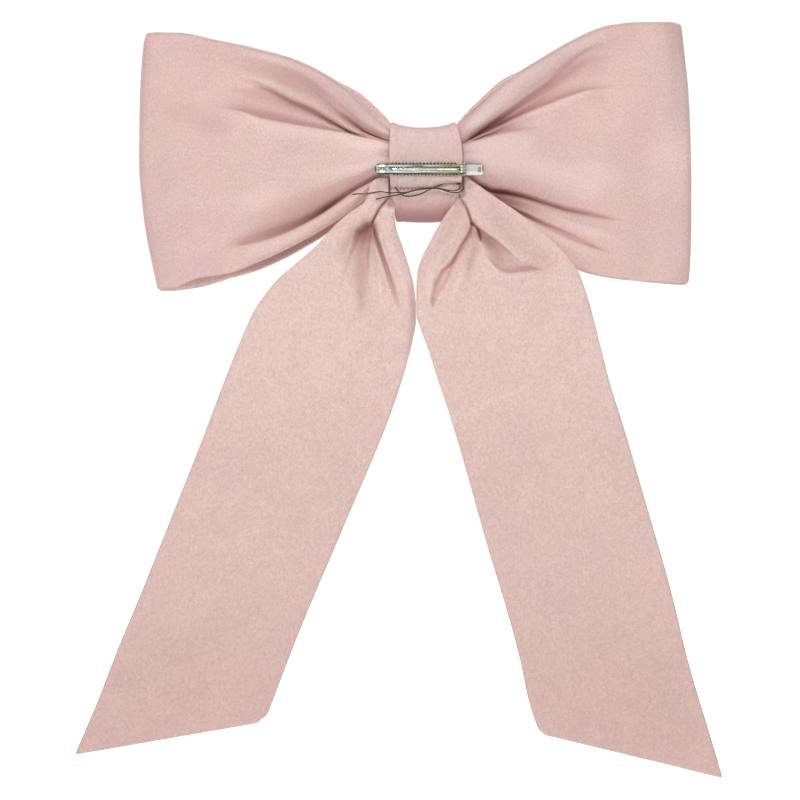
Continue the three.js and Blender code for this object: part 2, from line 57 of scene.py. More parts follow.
BACK_Y = -27.2          # the sewn face in the frame, whose origin is the band's front face
VIEW_X, VIEW_Z = -13.55, -106.5     # the camera's axis, which the outlines are drawn around
VIEW_DISTANCE = 1387.5  # from the camera to the sewn face
CLOTH_HALF = 1.4        # half the cloth's doubled thickness
CLOTH_EDGE = 1.5        # rounding at a sewn edge

# ------------------------------------------------------------------ curves and fields


def pchip(knots, values, at):
    """A monotone cubic through (knots, values), run on straight past both ends."""
    knots, values, at = (np.asarray(v, float) for v in (knots, values, at))
    gap = np.diff(knots)
    slope = np.diff(values) / gap
    tangent = np.zeros_like(values)
    before, after = 2 * gap[1:] + gap[:-1], gap[1:] + 2 * gap[:-1]
    same = slope[:-1] * slope[1:] > 0
    first, second = np.where(same, slope[:-1], 1.0), np.where(same, slope[1:], 1.0)
    tangent[1:-1] = np.where(same, (before + after) / (before / first + after / second), 0.0)
    tangent[0], tangent[-1] = slope[0], slope[-1]
    k = np.clip(np.searchsorted(knots, at) - 1, 0, len(gap) - 1)
    t = (at - knots[k]) / gap[k]
    t2, t3 = t * t, t * t * t
    result = ((2 * t3 - 3 * t2 + 1) * values[k] + (t3 - 2 * t2 + t) * gap[k] * tangent[k]
              + (-2 * t3 + 3 * t2) * values[k + 1] + (t3 - t2) * gap[k] * tangent[k + 1])
    result = np.where(at < knots[0], values[0] + tangent[0] * (at - knots[0]), result)
    return np.where(at > knots[-1], values[-1] + tangent[-1] * (at - knots[-1]), result)


def curve(points):
    """A smooth function through (x, y) points, in any order."""
    xs, ys = zip(*sorted(points))
    return lambda x: pchip(xs, ys, x)


def ease(start, end, x):
    """0 at start to 1 at end, smoothly."""
    t = np.clip((np.asarray(x, float) - start) / (end - start), 0, 1)
    return t * t * (3 - 2 * t)


def fade(start, end, x):
    """1 at start to 0 at end, smoothly."""
    return 1 - ease(start, end, x)


def bell(x, width):
    return np.exp(-(x / width) ** 2)


def arc_length(points):
    """The distance along a polyline at each of its points."""
    return np.concatenate([[0], np.cumsum(np.linalg.norm(np.diff(points, axis=0), axis=1))])


def catmull(points, count, closed=False):
    """count points evenly spaced along a centripetal Catmull-Rom curve."""
    P = np.asarray(points, float)
    if closed:
        P = np.vstack([P[-1], P, P[0], P[1]])
    else:
        P = np.vstack([2 * P[0] - P[1], P, 2 * P[-1] - P[-2]])
    pieces = []
    for i in range(1, len(P) - 2):
        p = P[i - 1:i + 3]
        chord = np.maximum(np.linalg.norm(np.diff(p, axis=0), axis=1), 1e-6)
        knot = np.concatenate([[0], np.cumsum(chord ** 0.5)])
        t = np.linspace(knot[1], knot[2], 24, endpoint=False)[:, None]

        def between(a, b, start, end):
            span = knot[end] - knot[start]
            return (knot[end] - t) / span * a + (t - knot[start]) / span * b

        a = [between(p[k], p[k + 1], k, k + 1) for k in range(3)]
        b = [between(a[k], a[k + 1], k, k + 2) for k in range(2)]
        pieces.append(between(b[0], b[1], 1, 2))
    path = np.vstack(pieces + [P[-2][None]])
    s = arc_length(path)
    at = np.linspace(0, s[-1], count, endpoint=not closed)
    return np.stack([np.interp(at, s, path[:, k]) for k in range(P.shape[1])], 1)


def smooth_noise(shape, cell, seed):
    """A cubic-smooth random field; cell is its grain in samples along each axis."""
    size = [int(n / c) + 4 for n, c in zip(shape, cell)]
    lattice = np.random.default_rng(seed).standard_normal(size)

    def weights(n, c):
        place = np.arange(n) / c
        i = place.astype(int)
        t = place - i
        cubic = [(1 - t) ** 3, 3 * t ** 3 - 6 * t ** 2 + 4, -3 * t ** 3 + 3 * t ** 2 + 3 * t + 1,
                 t ** 3]
        return i, np.stack(cubic, 1) / 6

    (row, row_w), (col, col_w) = (weights(n, c) for n, c in zip(shape, cell))
    rows = sum(row_w[:, k][:, None] * lattice[row + k] for k in range(4))
    return sum(col_w[:, k][None] * rows[:, col + k] for k in range(4)) * 1.6


def blur(A, passes, axes=(0, 1)):
    for _ in range(passes):
        for axis in axes:
            ends = [np.take(A, [0], axis), A, np.take(A, [-1], axis)]
            padded, n = np.concatenate(ends, axis), A.shape[axis]
            A = (0.25 * np.take(padded, range(0, n), axis) + 0.5 * A
                 + 0.25 * np.take(padded, range(2, n + 2), axis))
    return A


def sample(A, x, y):
    """A read between its samples at fractional rows x and columns y."""
    x = np.clip(x, 0, A.shape[0] - 1.001)
    y = np.clip(y, 0, A.shape[1] - 1.001)
    i, j = x.astype(int), y.astype(int)
    a, b = x - i, y - j
    return ((A[i, j] * (1 - a) + A[i + 1, j] * a) * (1 - b)
            + (A[i, j + 1] * (1 - a) + A[i + 1, j + 1] * a) * b)


def poly_dist(X, Z, points):
    """Distance to a polyline, the place along it from 0 to 1, and the side (+ left of travel)."""
    nearest = np.full(X.shape, 1e9)
    along = np.zeros(X.shape)
    side = np.zeros(X.shape)
    P = np.asarray(points, float)
    lengths = np.linalg.norm(np.diff(P, axis=0), axis=1)
    total, run = lengths.sum(), 0.0
    for start, step, length in zip(P, np.diff(P, axis=0), lengths):
        t = np.clip(((X - start[0]) * step[0] + (Z - start[1]) * step[1]) / length ** 2, 0, 1)
        dx, dz = X - start[0] - t * step[0], Z - start[1] - t * step[1]
        distance = np.hypot(dx, dz)
        closer = distance < nearest
        nearest = np.where(closer, distance, nearest)
        along = np.where(closer, (run + t * length) / total, along)
        side = np.where(closer, np.sign(step[0] * dz - step[1] * dx), side)
        run += length
    return nearest, along, side


def stroke(X, Z, height, left, right, fade_in, fade_out, points):
    """A fold line drawn into a height map, falling off over left and right mm at its sides."""
    d, s, side = poly_dist(X, Z, catmull(points, 24))
    ends = fade(1 - fade_out, 1, s)
    if fade_in > 0:
        ends = ease(0, fade_in, s) * ends
    return height * ends * bell(d, np.where(side > 0, left, right))


def shade(X, Z, points, up, down):
    """Painted shading along (x, z, amount) points, fading over up mm above and down mm below."""
    P = np.asarray(points, float)
    d, s, side = poly_dist(X, Z, P[:, :2])
    place = arc_length(P[:, :2])
    amount = np.interp(s, place / place[-1], P[:, 2])
    side = side * (1 if P[-1, 0] > P[0, 0] else -1)
    return amount * bell(d, np.where(side > 0, up, down))


def inside(X, Z, outline):
    """Signed distance to a closed outline, + inside."""
    P = np.asarray(outline, float)
    d, _, _ = poly_dist(X, Z, np.vstack([P, P[:1]]))
    hit = np.zeros(X.shape, bool)
    for (x1, z1), (x2, z2) in zip(P, np.roll(P, -1, 0)):
        if z1 == z2:
            continue
        hit ^= ((z1 > Z) != (z2 > Z)) & (X < (x2 - x1) * (Z - z1) / (z2 - z1) + x1)
    return np.where(hit, d, -d)


def grid(x, y, z):
    return np.stack(np.broadcast_arrays(x, y, z), 2)


def spread(M, depth):
    """Outlines are drawn at the sewn face, in perspective: deeper cloth is that much wider."""
    scale = 1 + depth / VIEW_DISTANCE
    M[..., 0] = VIEW_X + (M[..., 0] - VIEW_X) * scale
    M[..., 2] = VIEW_Z + (M[..., 2] - VIEW_Z) * scale
    return M


def normals(M):
    N = np.cross(np.gradient(M, axis=0), np.gradient(M, axis=1))
    return N / np.maximum(np.linalg.norm(N, axis=2, keepdims=True), 1e-9)


def edge_rows(length, count, fine):
    """Fractions 0..1 across a cloth of that width, set at the fine distances at both edges."""
    close = np.array(fine) / length
    middle = np.linspace(close[-1], 1 - close[-1], count)
    return np.concatenate([close[:-1], middle, 1 - close[:-1][::-1]])


def puff(d, edge=CLOTH_EDGE, half=CLOTH_HALF):
    """Half thickness at distance d from a rounded edge."""
    t = np.clip(d / edge, 0, 1)
    return half * np.sqrt(np.clip(1 - (1 - t) ** 2, 0, 1))


# ------------------------------------------------------------------ meshes


def new_object(name, V, F):
    """A smooth mesh object from points in mm and quads."""
    mesh = bpy.data.meshes.new(name)
    V = (np.asarray(V, float) + (0.0, BACK_Y, 0.0)) * MM
    F = np.asarray(F, np.int32)
    mesh.vertices.add(len(V))
    mesh.vertices.foreach_set("co", V.astype(np.float32).ravel())
    mesh.loops.add(F.size)
    mesh.loops.foreach_set("vertex_index", F.ravel())
    mesh.polygons.add(len(F))
    mesh.polygons.foreach_set("loop_start", np.arange(0, F.size, 4, dtype=np.int32))
    mesh.polygons.foreach_set("loop_total", np.full(len(F), 4, np.int32))
    mesh.update(calc_edges=True)
    mesh.validate(clean_customdata=False)
    mesh.polygons.foreach_set("use_smooth", np.ones(len(mesh.polygons), bool))
    ob = bpy.data.objects.new(name, mesh)
    bpy.context.scene.collection.objects.link(ob)
    return ob


def attribute(ob, name, kind, data):
    layer = ob.data.attributes.new(name, kind, "POINT")
    field = "vector" if kind == "FLOAT_VECTOR" else "value"
    layer.data.foreach_set(field, np.ascontiguousarray(data, np.float32).ravel())


def sheet(name, A, B, closed=False, fab=None, curv=None, tone=None):
    """A closed body between face grids A and B, both (m, n, 3); closed joins the row ends."""
    m, n = A.shape[:2]
    V = np.concatenate([A.reshape(-1, 3), B.reshape(-1, 3)])
    i = np.arange(m if closed else m - 1)
    j = np.arange(n - 1)
    I, J = np.meshgrid(i, j, indexing="ij")
    other = m * n       # where B's points start

    def quads(*corners):
        return np.stack([c.ravel() for c in corners], 1)

    here, after = I * n + J, (I + 1) % m * n + J
    near, following = i * n, (i + 1) % m * n
    far, far_next = near + n - 1, following + n - 1
    F = [quads(here, after, after + 1, here + 1),
         other + quads(here, here + 1, after + 1, after),
         quads(near, other + near, other + following, following),
         quads(far, far_next, other + far_next, other + far)]
    if not closed:
        last = (m - 1) * n + j
        F.append(quads(j, j + 1, other + j + 1, other + j))
        F.append(quads(last, other + last, other + last + 1, last + 1))
    F = np.concatenate(F)
    # turn the faces outward
    volume = 0.0
    for corners in ([0, 1, 2], [0, 2, 3]):
        tri = V[F[:, corners]]
        volume += np.einsum("ij,ij->i", tri[:, 0], np.cross(tri[:, 1], tri[:, 2])).sum()
    if volume < 0:
        F = F[:, ::-1]
    ob = new_object(name, V, F)
    if fab is not None:
        attribute(ob, "fab", "FLOAT_VECTOR", np.concatenate([fab.reshape(-1, 3)] * 2))
    for field, data in (("curv", curv), ("tone", tone)):
        if data is not None:
            attribute(ob, field, "FLOAT", np.concatenate([data.ravel()] * 2))
    return ob


def tube(name, P, radius, sides, plies, twist):
    """A twisted thread along points P: plies strands laid together, twist in mm a turn."""
    ply_depth, end_size = 0.16, 0.6     # groove between plies and end radius, as shares of radius
    T = np.gradient(P, axis=0)
    T /= np.linalg.norm(T, axis=1, keepdims=True)
    # a side direction carried along the thread without twist
    N = np.zeros_like(P)
    start = np.cross(T[0], [0.3, 0.9, 0.2])
    N[0] = start / np.linalg.norm(start)
    for i in range(1, len(P)):
        v = N[i - 1] - T[i] * np.dot(N[i - 1], T[i])
        N[i] = v / max(np.linalg.norm(v), 1e-9)
    s = arc_length(P)
    angle = np.linspace(0, 2 * np.pi, sides, endpoint=False)
    turn = 2 * np.pi * s / twist
    strands = np.abs(np.cos(0.5 * plies * (angle[None] - turn[:, None])))
    R = radius * (1 - ply_depth + ply_depth * strands * 1.6)
    end = np.minimum(s, s[-1] - s)
    R = R * (end_size + (1 - end_size) * np.sqrt(np.clip(end / (1.5 * radius), 0, 1)))[:, None]
    ring = P[:, None] + R[..., None] * (np.cos(angle)[None, :, None] * N[:, None]
                                        + np.sin(angle)[None, :, None] * np.cross(T, N)[:, None])
    m = len(P)
    i, j = np.meshgrid(np.arange(m - 1), np.arange(sides), indexing="ij")
    j2 = (j + 1) % sides
    corners = (i * sides + j, (i + 1) * sides + j, (i + 1) * sides + j2, i * sides + j2)
    tips = [P[0] - T[0] * radius * 0.4, P[-1] + T[-1] * radius * 0.4]
    V = np.vstack([ring.reshape(-1, 3)] + tips)
    ob = new_object(name, V, np.stack([c.ravel() for c in corners], 1))
    # a fan of triangles closes each end
    bm = bmesh.new()
    bm.from_mesh(ob.data)
    bm.verts.ensure_lookup_table()
    k = m * sides
    last = k - sides
    for q in range(sides):
        q2 = (q + 1) % sides
        for fan in ((k, q, q2), (k + 1, last + q2, last + q)):
            bm.faces.new([bm.verts[v] for v in fan]).smooth = True
    bmesh.ops.recalc_face_normals(bm, faces=bm.faces)
    bm.to_mesh(ob.data)
    bm.free()
    fab = np.zeros((len(V), 3))
    fab[:k, 0] = np.repeat(s, sides)
    fab[:k, 1] = np.tile(angle * radius, m)
    attribute(ob, "fab", "FLOAT_VECTOR", fab)
    return ob


# ------------------------------------------------------------------ materials


def srgb(*c):
    return tuple(((v / 255) / 12.92 if v / 255 <= 0.04045 else ((v / 255 + 0.055) / 1.055) ** 2.4)
                 for v in c) + (1.0,)


class Shader:
    """The node tree of a material or world, with short calls for the nodes used here."""

    def __init__(self, owner, output="OutputMaterial"):
        owner.use_nodes = True
        self.owner, self.tree = owner, owner.node_tree
        self.tree.nodes.clear()
        self.output = self.node(output)

    def plug(self, socket, value):
        if isinstance(value, bpy.types.NodeSocket):
            self.tree.links.new(value, socket)
        else:
            socket.default_value = value

    def node(self, kind, inputs={}, **settings):
        node = self.tree.nodes.new("ShaderNode" + kind)
        for name, value in settings.items():
            setattr(node, name, value)
        for socket, value in inputs.items():
            self.plug(node.inputs[socket], value)
        return node

    def attribute(self, name, output="Fac"):
        return self.node("Attribute", attribute_name=name).outputs[output]

    def math(self, operation, a, b=None, clamp=False):
        inputs = {0: a} if b is None else {0: a, 1: b}
        return self.node("Math", inputs, operation=operation, use_clamp=clamp).outputs[0]

    def plus(self, a, b):
        return self.math("ADD", a, b)

    def times(self, a, b):
        return self.math("MULTIPLY", a, b)

    def mix(self, share, a, b, blend="MIX"):
        return self.node("Mix", {0: share, 6: a, 7: b}, data_type="RGBA", blend_type=blend,
                         clamp_factor=True).outputs[2]

    def noise(self, vector, scale, detail, rough=0.5, distort=0.0):
        inputs = {"Vector": vector, "Scale": scale, "Detail": detail, "Roughness": rough,
                  "Distortion": distort}
        return self.node("TexNoise", inputs, noise_dimensions="3D").outputs["Fac"]

    def ramp(self, value, start, end, low=0.0, high=1.0):
        """value mapped from start..end to low..high, held at both ends."""
        inputs = {0: value, 1: start, 2: end, 3: low, 4: high}
        return self.node("MapRange", inputs, clamp=True).outputs[0]

    def mapping(self, vector, scale=(1, 1, 1), location=(0, 0, 0), turn=0):
        return self.node("Mapping", {"Vector": vector, "Scale": scale, "Location": location,
                                     "Rotation": (0, 0, turn)}).outputs[0]

    def split(self, vector):
        return self.node("SeparateXYZ", {0: vector}).outputs

    def layers(self, colour, rows):
        """Tints over colour: rows of driver, where it starts, where it is full, share, tint."""
        for driver, start, full, share, tint in rows:
            colour = self.mix(self.ramp(driver, start, full, 0.0, share), colour, tint)
        return colour

    def surface(self, inputs, height, strength, distance):
        """A principled surface with bumps distance metres high; returns the material."""
        bump = self.node("Bump", {"Strength": strength, "Distance": distance, "Height": height})
        self.finish({**inputs, "Normal": bump.outputs[0]})
        return self.owner

    def finish(self, inputs):
        self.plug(self.output.inputs[0], self.node("BsdfPrincipled", inputs).outputs[0])


def velvet(name, base, warm, cool, deep, seed, pile=1.0):
    """Short-pile velvet. On its meshes fab is the place on the cloth in mm, curv the fold
    (+ ridge, - crease) and tone the natural log of painted shading: shade below 0, light above."""
    base, warm, cool, deep = (srgb(*c) for c in (base, warm, cool, deep))
    pale = srgb(250, 232, 226)
    s = Shader(bpy.data.materials.new(name))
    cloth = s.mapping(s.attribute("fab", "Vector"),
                      location=(seed * 13.7, seed * 7.1, seed * 3.3))
    curv = s.attribute("curv")
    broad = s.noise(cloth, scale=0.035, detail=3, rough=0.55, distort=0.3)
    middle = s.noise(cloth, scale=0.16, detail=3, rough=0.6, distort=0.4)
    fine = s.noise(s.mapping(cloth, scale=(1.0, 0.75, 1)), scale=1.15, detail=3, rough=0.7)
    tiny = s.noise(s.mapping(cloth, scale=(1.0, 0.6, 1), turn=0.25), scale=3.2, detail=2,
                   rough=0.7)
    patches = s.noise(cloth, scale=0.09, detail=2, rough=0.5, distort=0.5)
    rough_curv = s.plus(curv, s.times(s.math("SUBTRACT", fine, 0.5), 0.45))
    facing = s.node("LayerWeight", {"Blend": 0.42}).outputs["Facing"]
    colour = s.mix(s.ramp(broad, start=0.38, end=0.62), warm, cool)
    colour = s.mix(0.5, base, colour)
    colour = s.layers(colour, (
        (middle, 0.35, 0.70, 0.45, cool),
        (patches, 0.50, 0.72, 0.55, warm),
        # speckle of the pile: tips catch the light
        (fine, 0.52, 0.72, 0.42 * pile, pale),
        (fine, 0.48, 0.28, 0.42 * pile, deep),
        (tiny, 0.56, 0.78, 0.45 * pile, pale),
        (tiny, 0.44, 0.26, 0.30 * pile, deep),
        # painted highlight on ridges and edges, painted shade in creases, painted sheen edge on
        (rough_curv, 0.30, 1.0, 0.50, pale),
        (curv, -0.10, -0.85, 0.62, deep),
        (s.math("POWER", facing, 3.0), 0.10, 0.95, 0.55, pale),
    ))
    # painted shading by tone: green and blue darken faster, so it turns rosy
    tone = s.times(s.attribute("tone"), s.plus(0.82, s.times(fine, 0.36)))
    channels = {k: s.math("POWER", 2.71828, s.times(tone, rate))
                for k, rate in enumerate((1.0, 1.42, 1.38))}
    shading = s.node("CombineColor", channels).outputs[0]
    colour = s.mix(1.0, colour, shading, "MULTIPLY")
    height = s.plus(s.times(fine, 0.55), s.times(tiny, 0.35))
    height = s.plus(height, s.times(middle, 1.4))
    return s.surface({"Base Color": colour, "Roughness": 0.92, "Specular IOR Level": 0.12,
                      "Sheen Weight": 0.16, "Sheen Roughness": 0.45,
                      "Sheen Tint": srgb(255, 226, 220)},
                     height, strength=0.55, distance=0.00032)


def thread_material(name, base, dark, light):
    s = Shader(bpy.data.materials.new(name))
    place = s.attribute("fab", "Vector")
    patches = s.noise(place, scale=0.9, detail=2, rough=0.6)
    fibres = s.noise(s.mapping(place, scale=(6, 2, 1)), scale=2.0, detail=2, rough=0.6)
    colour = s.mix(s.ramp(patches, start=0.35, end=0.7), srgb(*base), srgb(*light))
    colour = s.mix(s.ramp(fibres, start=0.55, end=0.25, high=0.8), colour, srgb(*dark))
    return s.surface({"Base Color": colour, "Roughness": 0.6, "Specular IOR Level": 0.3,
                      "Sheen Weight": 0.25, "Sheen Roughness": 0.5},
                     fibres, strength=0.5, distance=0.00006)


# Painted shade, highlights and reflections on single metal parts, placed in mm of the part's own
# frame.


def channel_shade(s, place, colour):
    """Painted shade along the plate's middle, between its ends."""
    x, _, z = s.split(place)
    ends = s.times(s.ramp(x, start=14.2, end=13.6), s.ramp(x, start=-17.8, end=-16.6))
    across = s.ramp(s.math("ABSOLUTE", z), start=1.25, end=1.55, low=0.9, high=0.0)
    return s.mix(s.times(across, ends), colour, srgb(52, 54, 42))


def tab_shade(s, place, colour):
    """Painted dark edges, a painted highlight on the lower half and a painted grey reflection in
    the middle of the tab at the plate's +X end.
    """
    half = 2.2
    x, _, z = s.split(place)
    tab = s.ramp(x, start=16.0, end=17.0)
    low = s.ramp(z, start=-half, end=-half - 0.15, high=0.9)
    high = s.ramp(z, start=half + 0.12, end=half + 0.24, high=0.75)
    end = s.ramp(x, start=24.45, end=24.65, high=0.9)
    edges = s.math("MAXIMUM", end, s.math("MAXIMUM", low, high))
    bright = s.times(s.times(s.ramp(z, start=-0.5, end=-1.2), tab), 0.6)
    grey = s.times(s.ramp(z, start=1.6, end=-0.4), s.ramp(z, start=-0.7, end=-0.2))
    colour = s.mix(s.times(tab, edges), colour, srgb(62, 58, 46))
    colour = s.mix(bright, colour, srgb(252, 249, 238))
    return s.mix(s.times(grey, s.times(tab, 0.3)), colour, srgb(150, 148, 142))


def rim_shade(s, place, colour):
    """Painted shade on the arm's long edges and -X end, and a painted dark line along each side of
    its middle.
    """
    rim = 1.70
    x, _, z = s.split(place)
    off = s.math("ABSOLUTE", z)
    dark = srgb(50, 53, 40)
    colour = s.layers(colour, ((off, rim, rim + 0.17, 0.93, dark), (x, -24.35, -24.6, 0.9, dark)))
    lines = s.times(s.ramp(off, start=0.98, end=0.84, high=0.85),
                    s.ramp(off, start=0.60, end=0.74))
    return s.mix(lines, colour, srgb(58, 62, 48))


def nickel(name, base, dull, rough, brush=0.25, tarnish=0.35, streak=0.0, olive=0.0,
           shadow=0.0012, details=()):
    """Metal with stains, brushing and pits. streak and olive paint dark and olive reflections
    in streaks along X; shadow is the reach of the painted shade in corners, in metres."""
    s = Shader(bpy.data.materials.new(name))
    place = s.mapping(s.node("TexCoord").outputs["Object"], scale=(1000, 1000, 1000))
    stain = s.noise(place, scale=0.35, detail=3, rough=0.6, distort=0.6)
    grain = s.noise(s.mapping(place, scale=(0.25, 3.0, 6.0)), scale=2.4, detail=3, rough=0.65)
    pit = s.noise(place, scale=5.0, detail=2, rough=0.6)
    dull = srgb(*dull)
    colour = s.layers(srgb(*base), ((stain, 0.42, 0.75, tarnish, dull),
                                    (pit, 0.68, 0.80, 0.35, dull)))
    for detail in details:
        colour = detail(s, place, colour)
    height = s.plus(grain, s.times(pit, 0.5))
    if streak:
        # painted reflections: dark streaks along X and olive ones toward +X; the same noise is
        # also a real bump
        streak_noise = s.noise(s.mapping(place, scale=(0.055, 0.6, 1.0)), scale=1.5, detail=1,
                         rough=0.4, distort=0.2)
        colour = s.layers(colour, ((streak_noise, 0.56, 0.66, streak, srgb(96, 100, 84)),))
        along = s.ramp(s.split(place)[0], start=-6.0, end=10.0)
        olive_share = s.ramp(streak_noise, start=0.40, end=0.56, low=olive, high=0.25 * olive)
        colour = s.mix(s.times(along, olive_share), colour, srgb(168, 164, 104))
        height = s.plus(height, s.times(streak_noise, 9.0))
    # painted shade in corners and hollows, from ambient occlusion
    corners = s.node("AmbientOcclusion", {"Distance": shadow}, samples=6).outputs["AO"]
    colour = s.layers(colour, ((corners, 0.80, 0.20, 0.92, srgb(44, 46, 36)),))
    brushed = s.times(s.math("SUBTRACT", grain, 0.5), brush)
    return s.surface({"Base Color": colour, "Metallic": 1.0,
                      "Roughness": s.math("ADD", rough, brushed, clamp=True)},
                     height, strength=0.35, distance=0.00003)


MATERIALS = {       # by slot
    "velvet_loops": velvet("velvet_loops", base=(225, 192, 187), warm=(229, 198, 189),
                           cool=(221, 186, 184), deep=(187, 141, 139), seed=0.0),
    "velvet_lining": velvet("velvet_lining", base=(218, 180, 175), warm=(224, 190, 182),
                            cool=(214, 175, 174), deep=(178, 130, 128), seed=1.0),
    "velvet_tails": velvet("velvet_tails", base=(224, 193, 186), warm=(228, 199, 189),
                           cool=(220, 188, 184), deep=(188, 143, 139), seed=2.0),
    "velvet_band": velvet("velvet_band", base=(228, 198, 193), warm=(232, 204, 197),
                          cool=(223, 191, 188), deep=(193, 148, 144), seed=3.0, pile=0.9),
    "thread_dark": thread_material("thread_dark_green", base=(38, 48, 32), dark=(14, 18, 11),
                                   light=(72, 84, 58)),
    "thread_pale": thread_material("thread_pale", base=(214, 204, 188), dark=(150, 138, 120),
                                   light=(240, 234, 224)),
    "thread_pink": thread_material("thread_rose", base=(232, 198, 188), dark=(176, 124, 116),
                                   light=(246, 226, 216)),
    "nickel_plate": nickel("nickel_plate", base=(208, 211, 212), dull=(160, 162, 150), rough=0.18,
                           brush=0.2, tarnish=0.3, shadow=0.0030,
                           details=(channel_shade, tab_shade)),
    "nickel_arm": nickel("nickel_arm", base=(228, 232, 230), dull=(170, 172, 152), rough=0.12,
                         brush=0.15, tarnish=0.25, streak=0.85, olive=0.95,
                         details=(rim_shade,)),
    "nickel_pin": nickel("nickel_pin", base=(205, 206, 198), dull=(120, 118, 98), rough=0.26),
    "spring_steel": nickel("spring_steel", base=(248, 249, 244), dull=(206, 206, 180),
                           rough=0.10, brush=0.12, tarnish=0.2, streak=0.15, olive=0.4),
}


def label(ob, slot, node):
    """Gives an object its material and hides the CAD piece it stands for."""
    ob.data.materials.append(MATERIALS[slot])
    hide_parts(node)


def fit(ob, slot, node, body="root"):
    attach(ob, body)
    label(ob, slot, node)


# ------------------------------------------------------------------ loops

# outlines of the two loops: (x, z)
LEFT_TOP_BACK = curve([
    (-134, 63.2), (-117.8, 63.2), (-97.3, 59.5), (-80.6, 56.1), (-64.9, 52), (-55.8, 48.2),
    (-42.7, 40.7), (-36.9, 36.4), (-29.4, 28.8), (-22.8, 22.6), (-18.4, 19), (-13, 16.8),
    (-1.5, 16.2)])
LEFT_TOP_FRONT = curve([
    (-134, 63.6), (-117.8, 63.4), (-97.3, 59.8), (-80.6, 56.4), (-64.9, 52.3), (-55.8, 48.7),
    (-42.7, 41.4), (-31.1, 35), (-27.4, 31.8), (-22.8, 27.4), (-19.6, 24), (-18, 22),
    (-13, 17.6), (-1.5, 16.2)])
LEFT_BOTTOM_BACK = curve([
    (-134, -55.6), (-122.7, -54.6), (-113.6, -51.3), (-105.6, -49.6), (-97.3, -48.7),
    (-80.6, -43.2), (-64.1, -35.7), (-51.7, -29), (-43.6, -24.1), (-35.3, -18.2), (-27, -9.9),
    (-19.6, -3.9), (-13, -3.4), (-1.5, -3.2)])
LEFT_BOTTOM_FRONT = curve([
    (-134, -56.1), (-123.6, -56.1), (-109.5, -54.7), (-93.1, -50.6), (-80.6, -47.3),
    (-68.1, -42.2), (-55.8, -35.7), (-51, -33), (-40, -25), (-27, -13), (-19.6, -5),
    (-13, -3.6), (-1.5, -3.2)])
RIGHT_TOP_BACK = curve([
    (-1.5, 16.2), (9, 16.8), (13.6, 19.4), (17.5, 23.6), (24.4, 30.5), (35.7, 41), (42.4, 46),
    (52.6, 52.1), (66.9, 60.1), (76.3, 64.4), (83.9, 66.7), (99.8, 68.2), (114.1, 68.2),
    (121, 67.2)])
RIGHT_TOP_FRONT = curve([
    (-1.5, 16.2), (9, 17.8), (13, 21.8), (16.5, 25.8), (22.5, 31.7), (33.8, 41.9), (43.3, 46.6),
    (52.6, 52.4), (66.9, 60.4), (76.3, 64.7), (83.9, 67), (99.8, 68.5), (114.1, 68.5),
    (121, 67.4)])
RIGHT_BOTTOM_BACK = curve([
    (-1.5, -3.2), (9, -3.4), (15.8, -3.9), (22, -8.5), (30, -16), (42, -28), (55, -38),
    (68.8, -46.2), (76.2, -48.5), (90.5, -50.8), (109.3, -52), (121, -52.4)])
RIGHT_BOTTOM_FRONT = curve([
    (-1.5, -3.2), (9, -3.6), (15.8, -4.4), (22, -9.5), (30, -17), (42, -28.6), (55, -38.4),
    (68.8, -46.4), (76.2, -48.7), (90.5, -51.2), (109.3, -53), (121, -53.4)])
TOP_EDGES = LEFT_TOP_BACK, LEFT_TOP_FRONT, RIGHT_TOP_BACK, RIGHT_TOP_FRONT
BOTTOM_EDGES = LEFT_BOTTOM_BACK, LEFT_BOTTOM_FRONT, RIGHT_BOTTOM_BACK, RIGHT_BOTTOM_FRONT

# the loops' outer ends: (z, x)
LEFT_END = curve([
    (-60, -125), (-55.2, -126), (-42.7, -128.6), (-23.3, -132), (4.5, -134.2), (27.6, -134),
    (57.7, -132.4), (63.9, -131)])
RIGHT_END = curve([
    (-60, 119.4), (-53, 120), (-44.1, 120.6), (-29.7, 121), (-11, 121), (12.8, 120.6),
    (36.4, 119.6), (55.1, 117.8), (66.9, 116.6)])

# fold lines of the two back panels: (distance from x = 0, z)
LEFT_VALLEY = curve([
    (16, 12.6), (18.2, 13.1), (23.7, 15), (30.2, 17.9), (37.6, 23.2), (44.1, 28.5), (52.4, 35.9),
    (59.8, 40.6), (75, 46), (134, 50)])
LEFT_UPPER = curve([
    (16, 12.2), (18.2, 12.7), (23.7, 14.5), (34.8, 16.9), (39.5, 19.4), (45.9, 23.4), (55.2, 29),
    (64.4, 32.9), (73.7, 37.3), (82, 39.5), (100, 42), (134, 44)])
LEFT_LOWER = curve([
    (16, 11.6), (18.2, 12.2), (23.7, 13.9), (36.7, 16.7), (50.6, 19.2), (64.4, 21.6),
    (78.3, 24.4), (87.6, 27.4), (110, 30), (134, 31)])
LEFT_CREASE = curve([
    (16, -1.6), (18.4, -1.8), (24.8, -4), (33.6, -8.6), (40.2, -12.9), (49, -18.9),
    (57.8, -24.2), (66.6, -28.4), (77.7, -32.2), (88.7, -34.6), (100, -36), (134, -38)])
RIGHT_UPPER = curve([
    (13, 11.6), (15.1, 12.4), (23.4, 17.6), (29.9, 23), (37.3, 28.5), (46.6, 35.2), (55.8, 41.7),
    (61.4, 46.1), (68.8, 51.7), (78, 55.8), (95, 57), (121, 58)])
RIGHT_LOWER = curve([
    (13, 11.4), (15.1, 12.1), (20, 14.4), (26.2, 17.4), (37.3, 22.9), (46.6, 27), (55.8, 30.7),
    (65.1, 34.3), (74.3, 37.1), (79.9, 37.9), (95, 39.5), (121, 40)])
RIGHT_STEP = curve([
    (13, 11), (15.1, 11.8), (21.6, 13.5), (28.1, 15.4), (37.3, 17.4), (46.6, 18.3), (54, 18.5),
    (121, 20)])
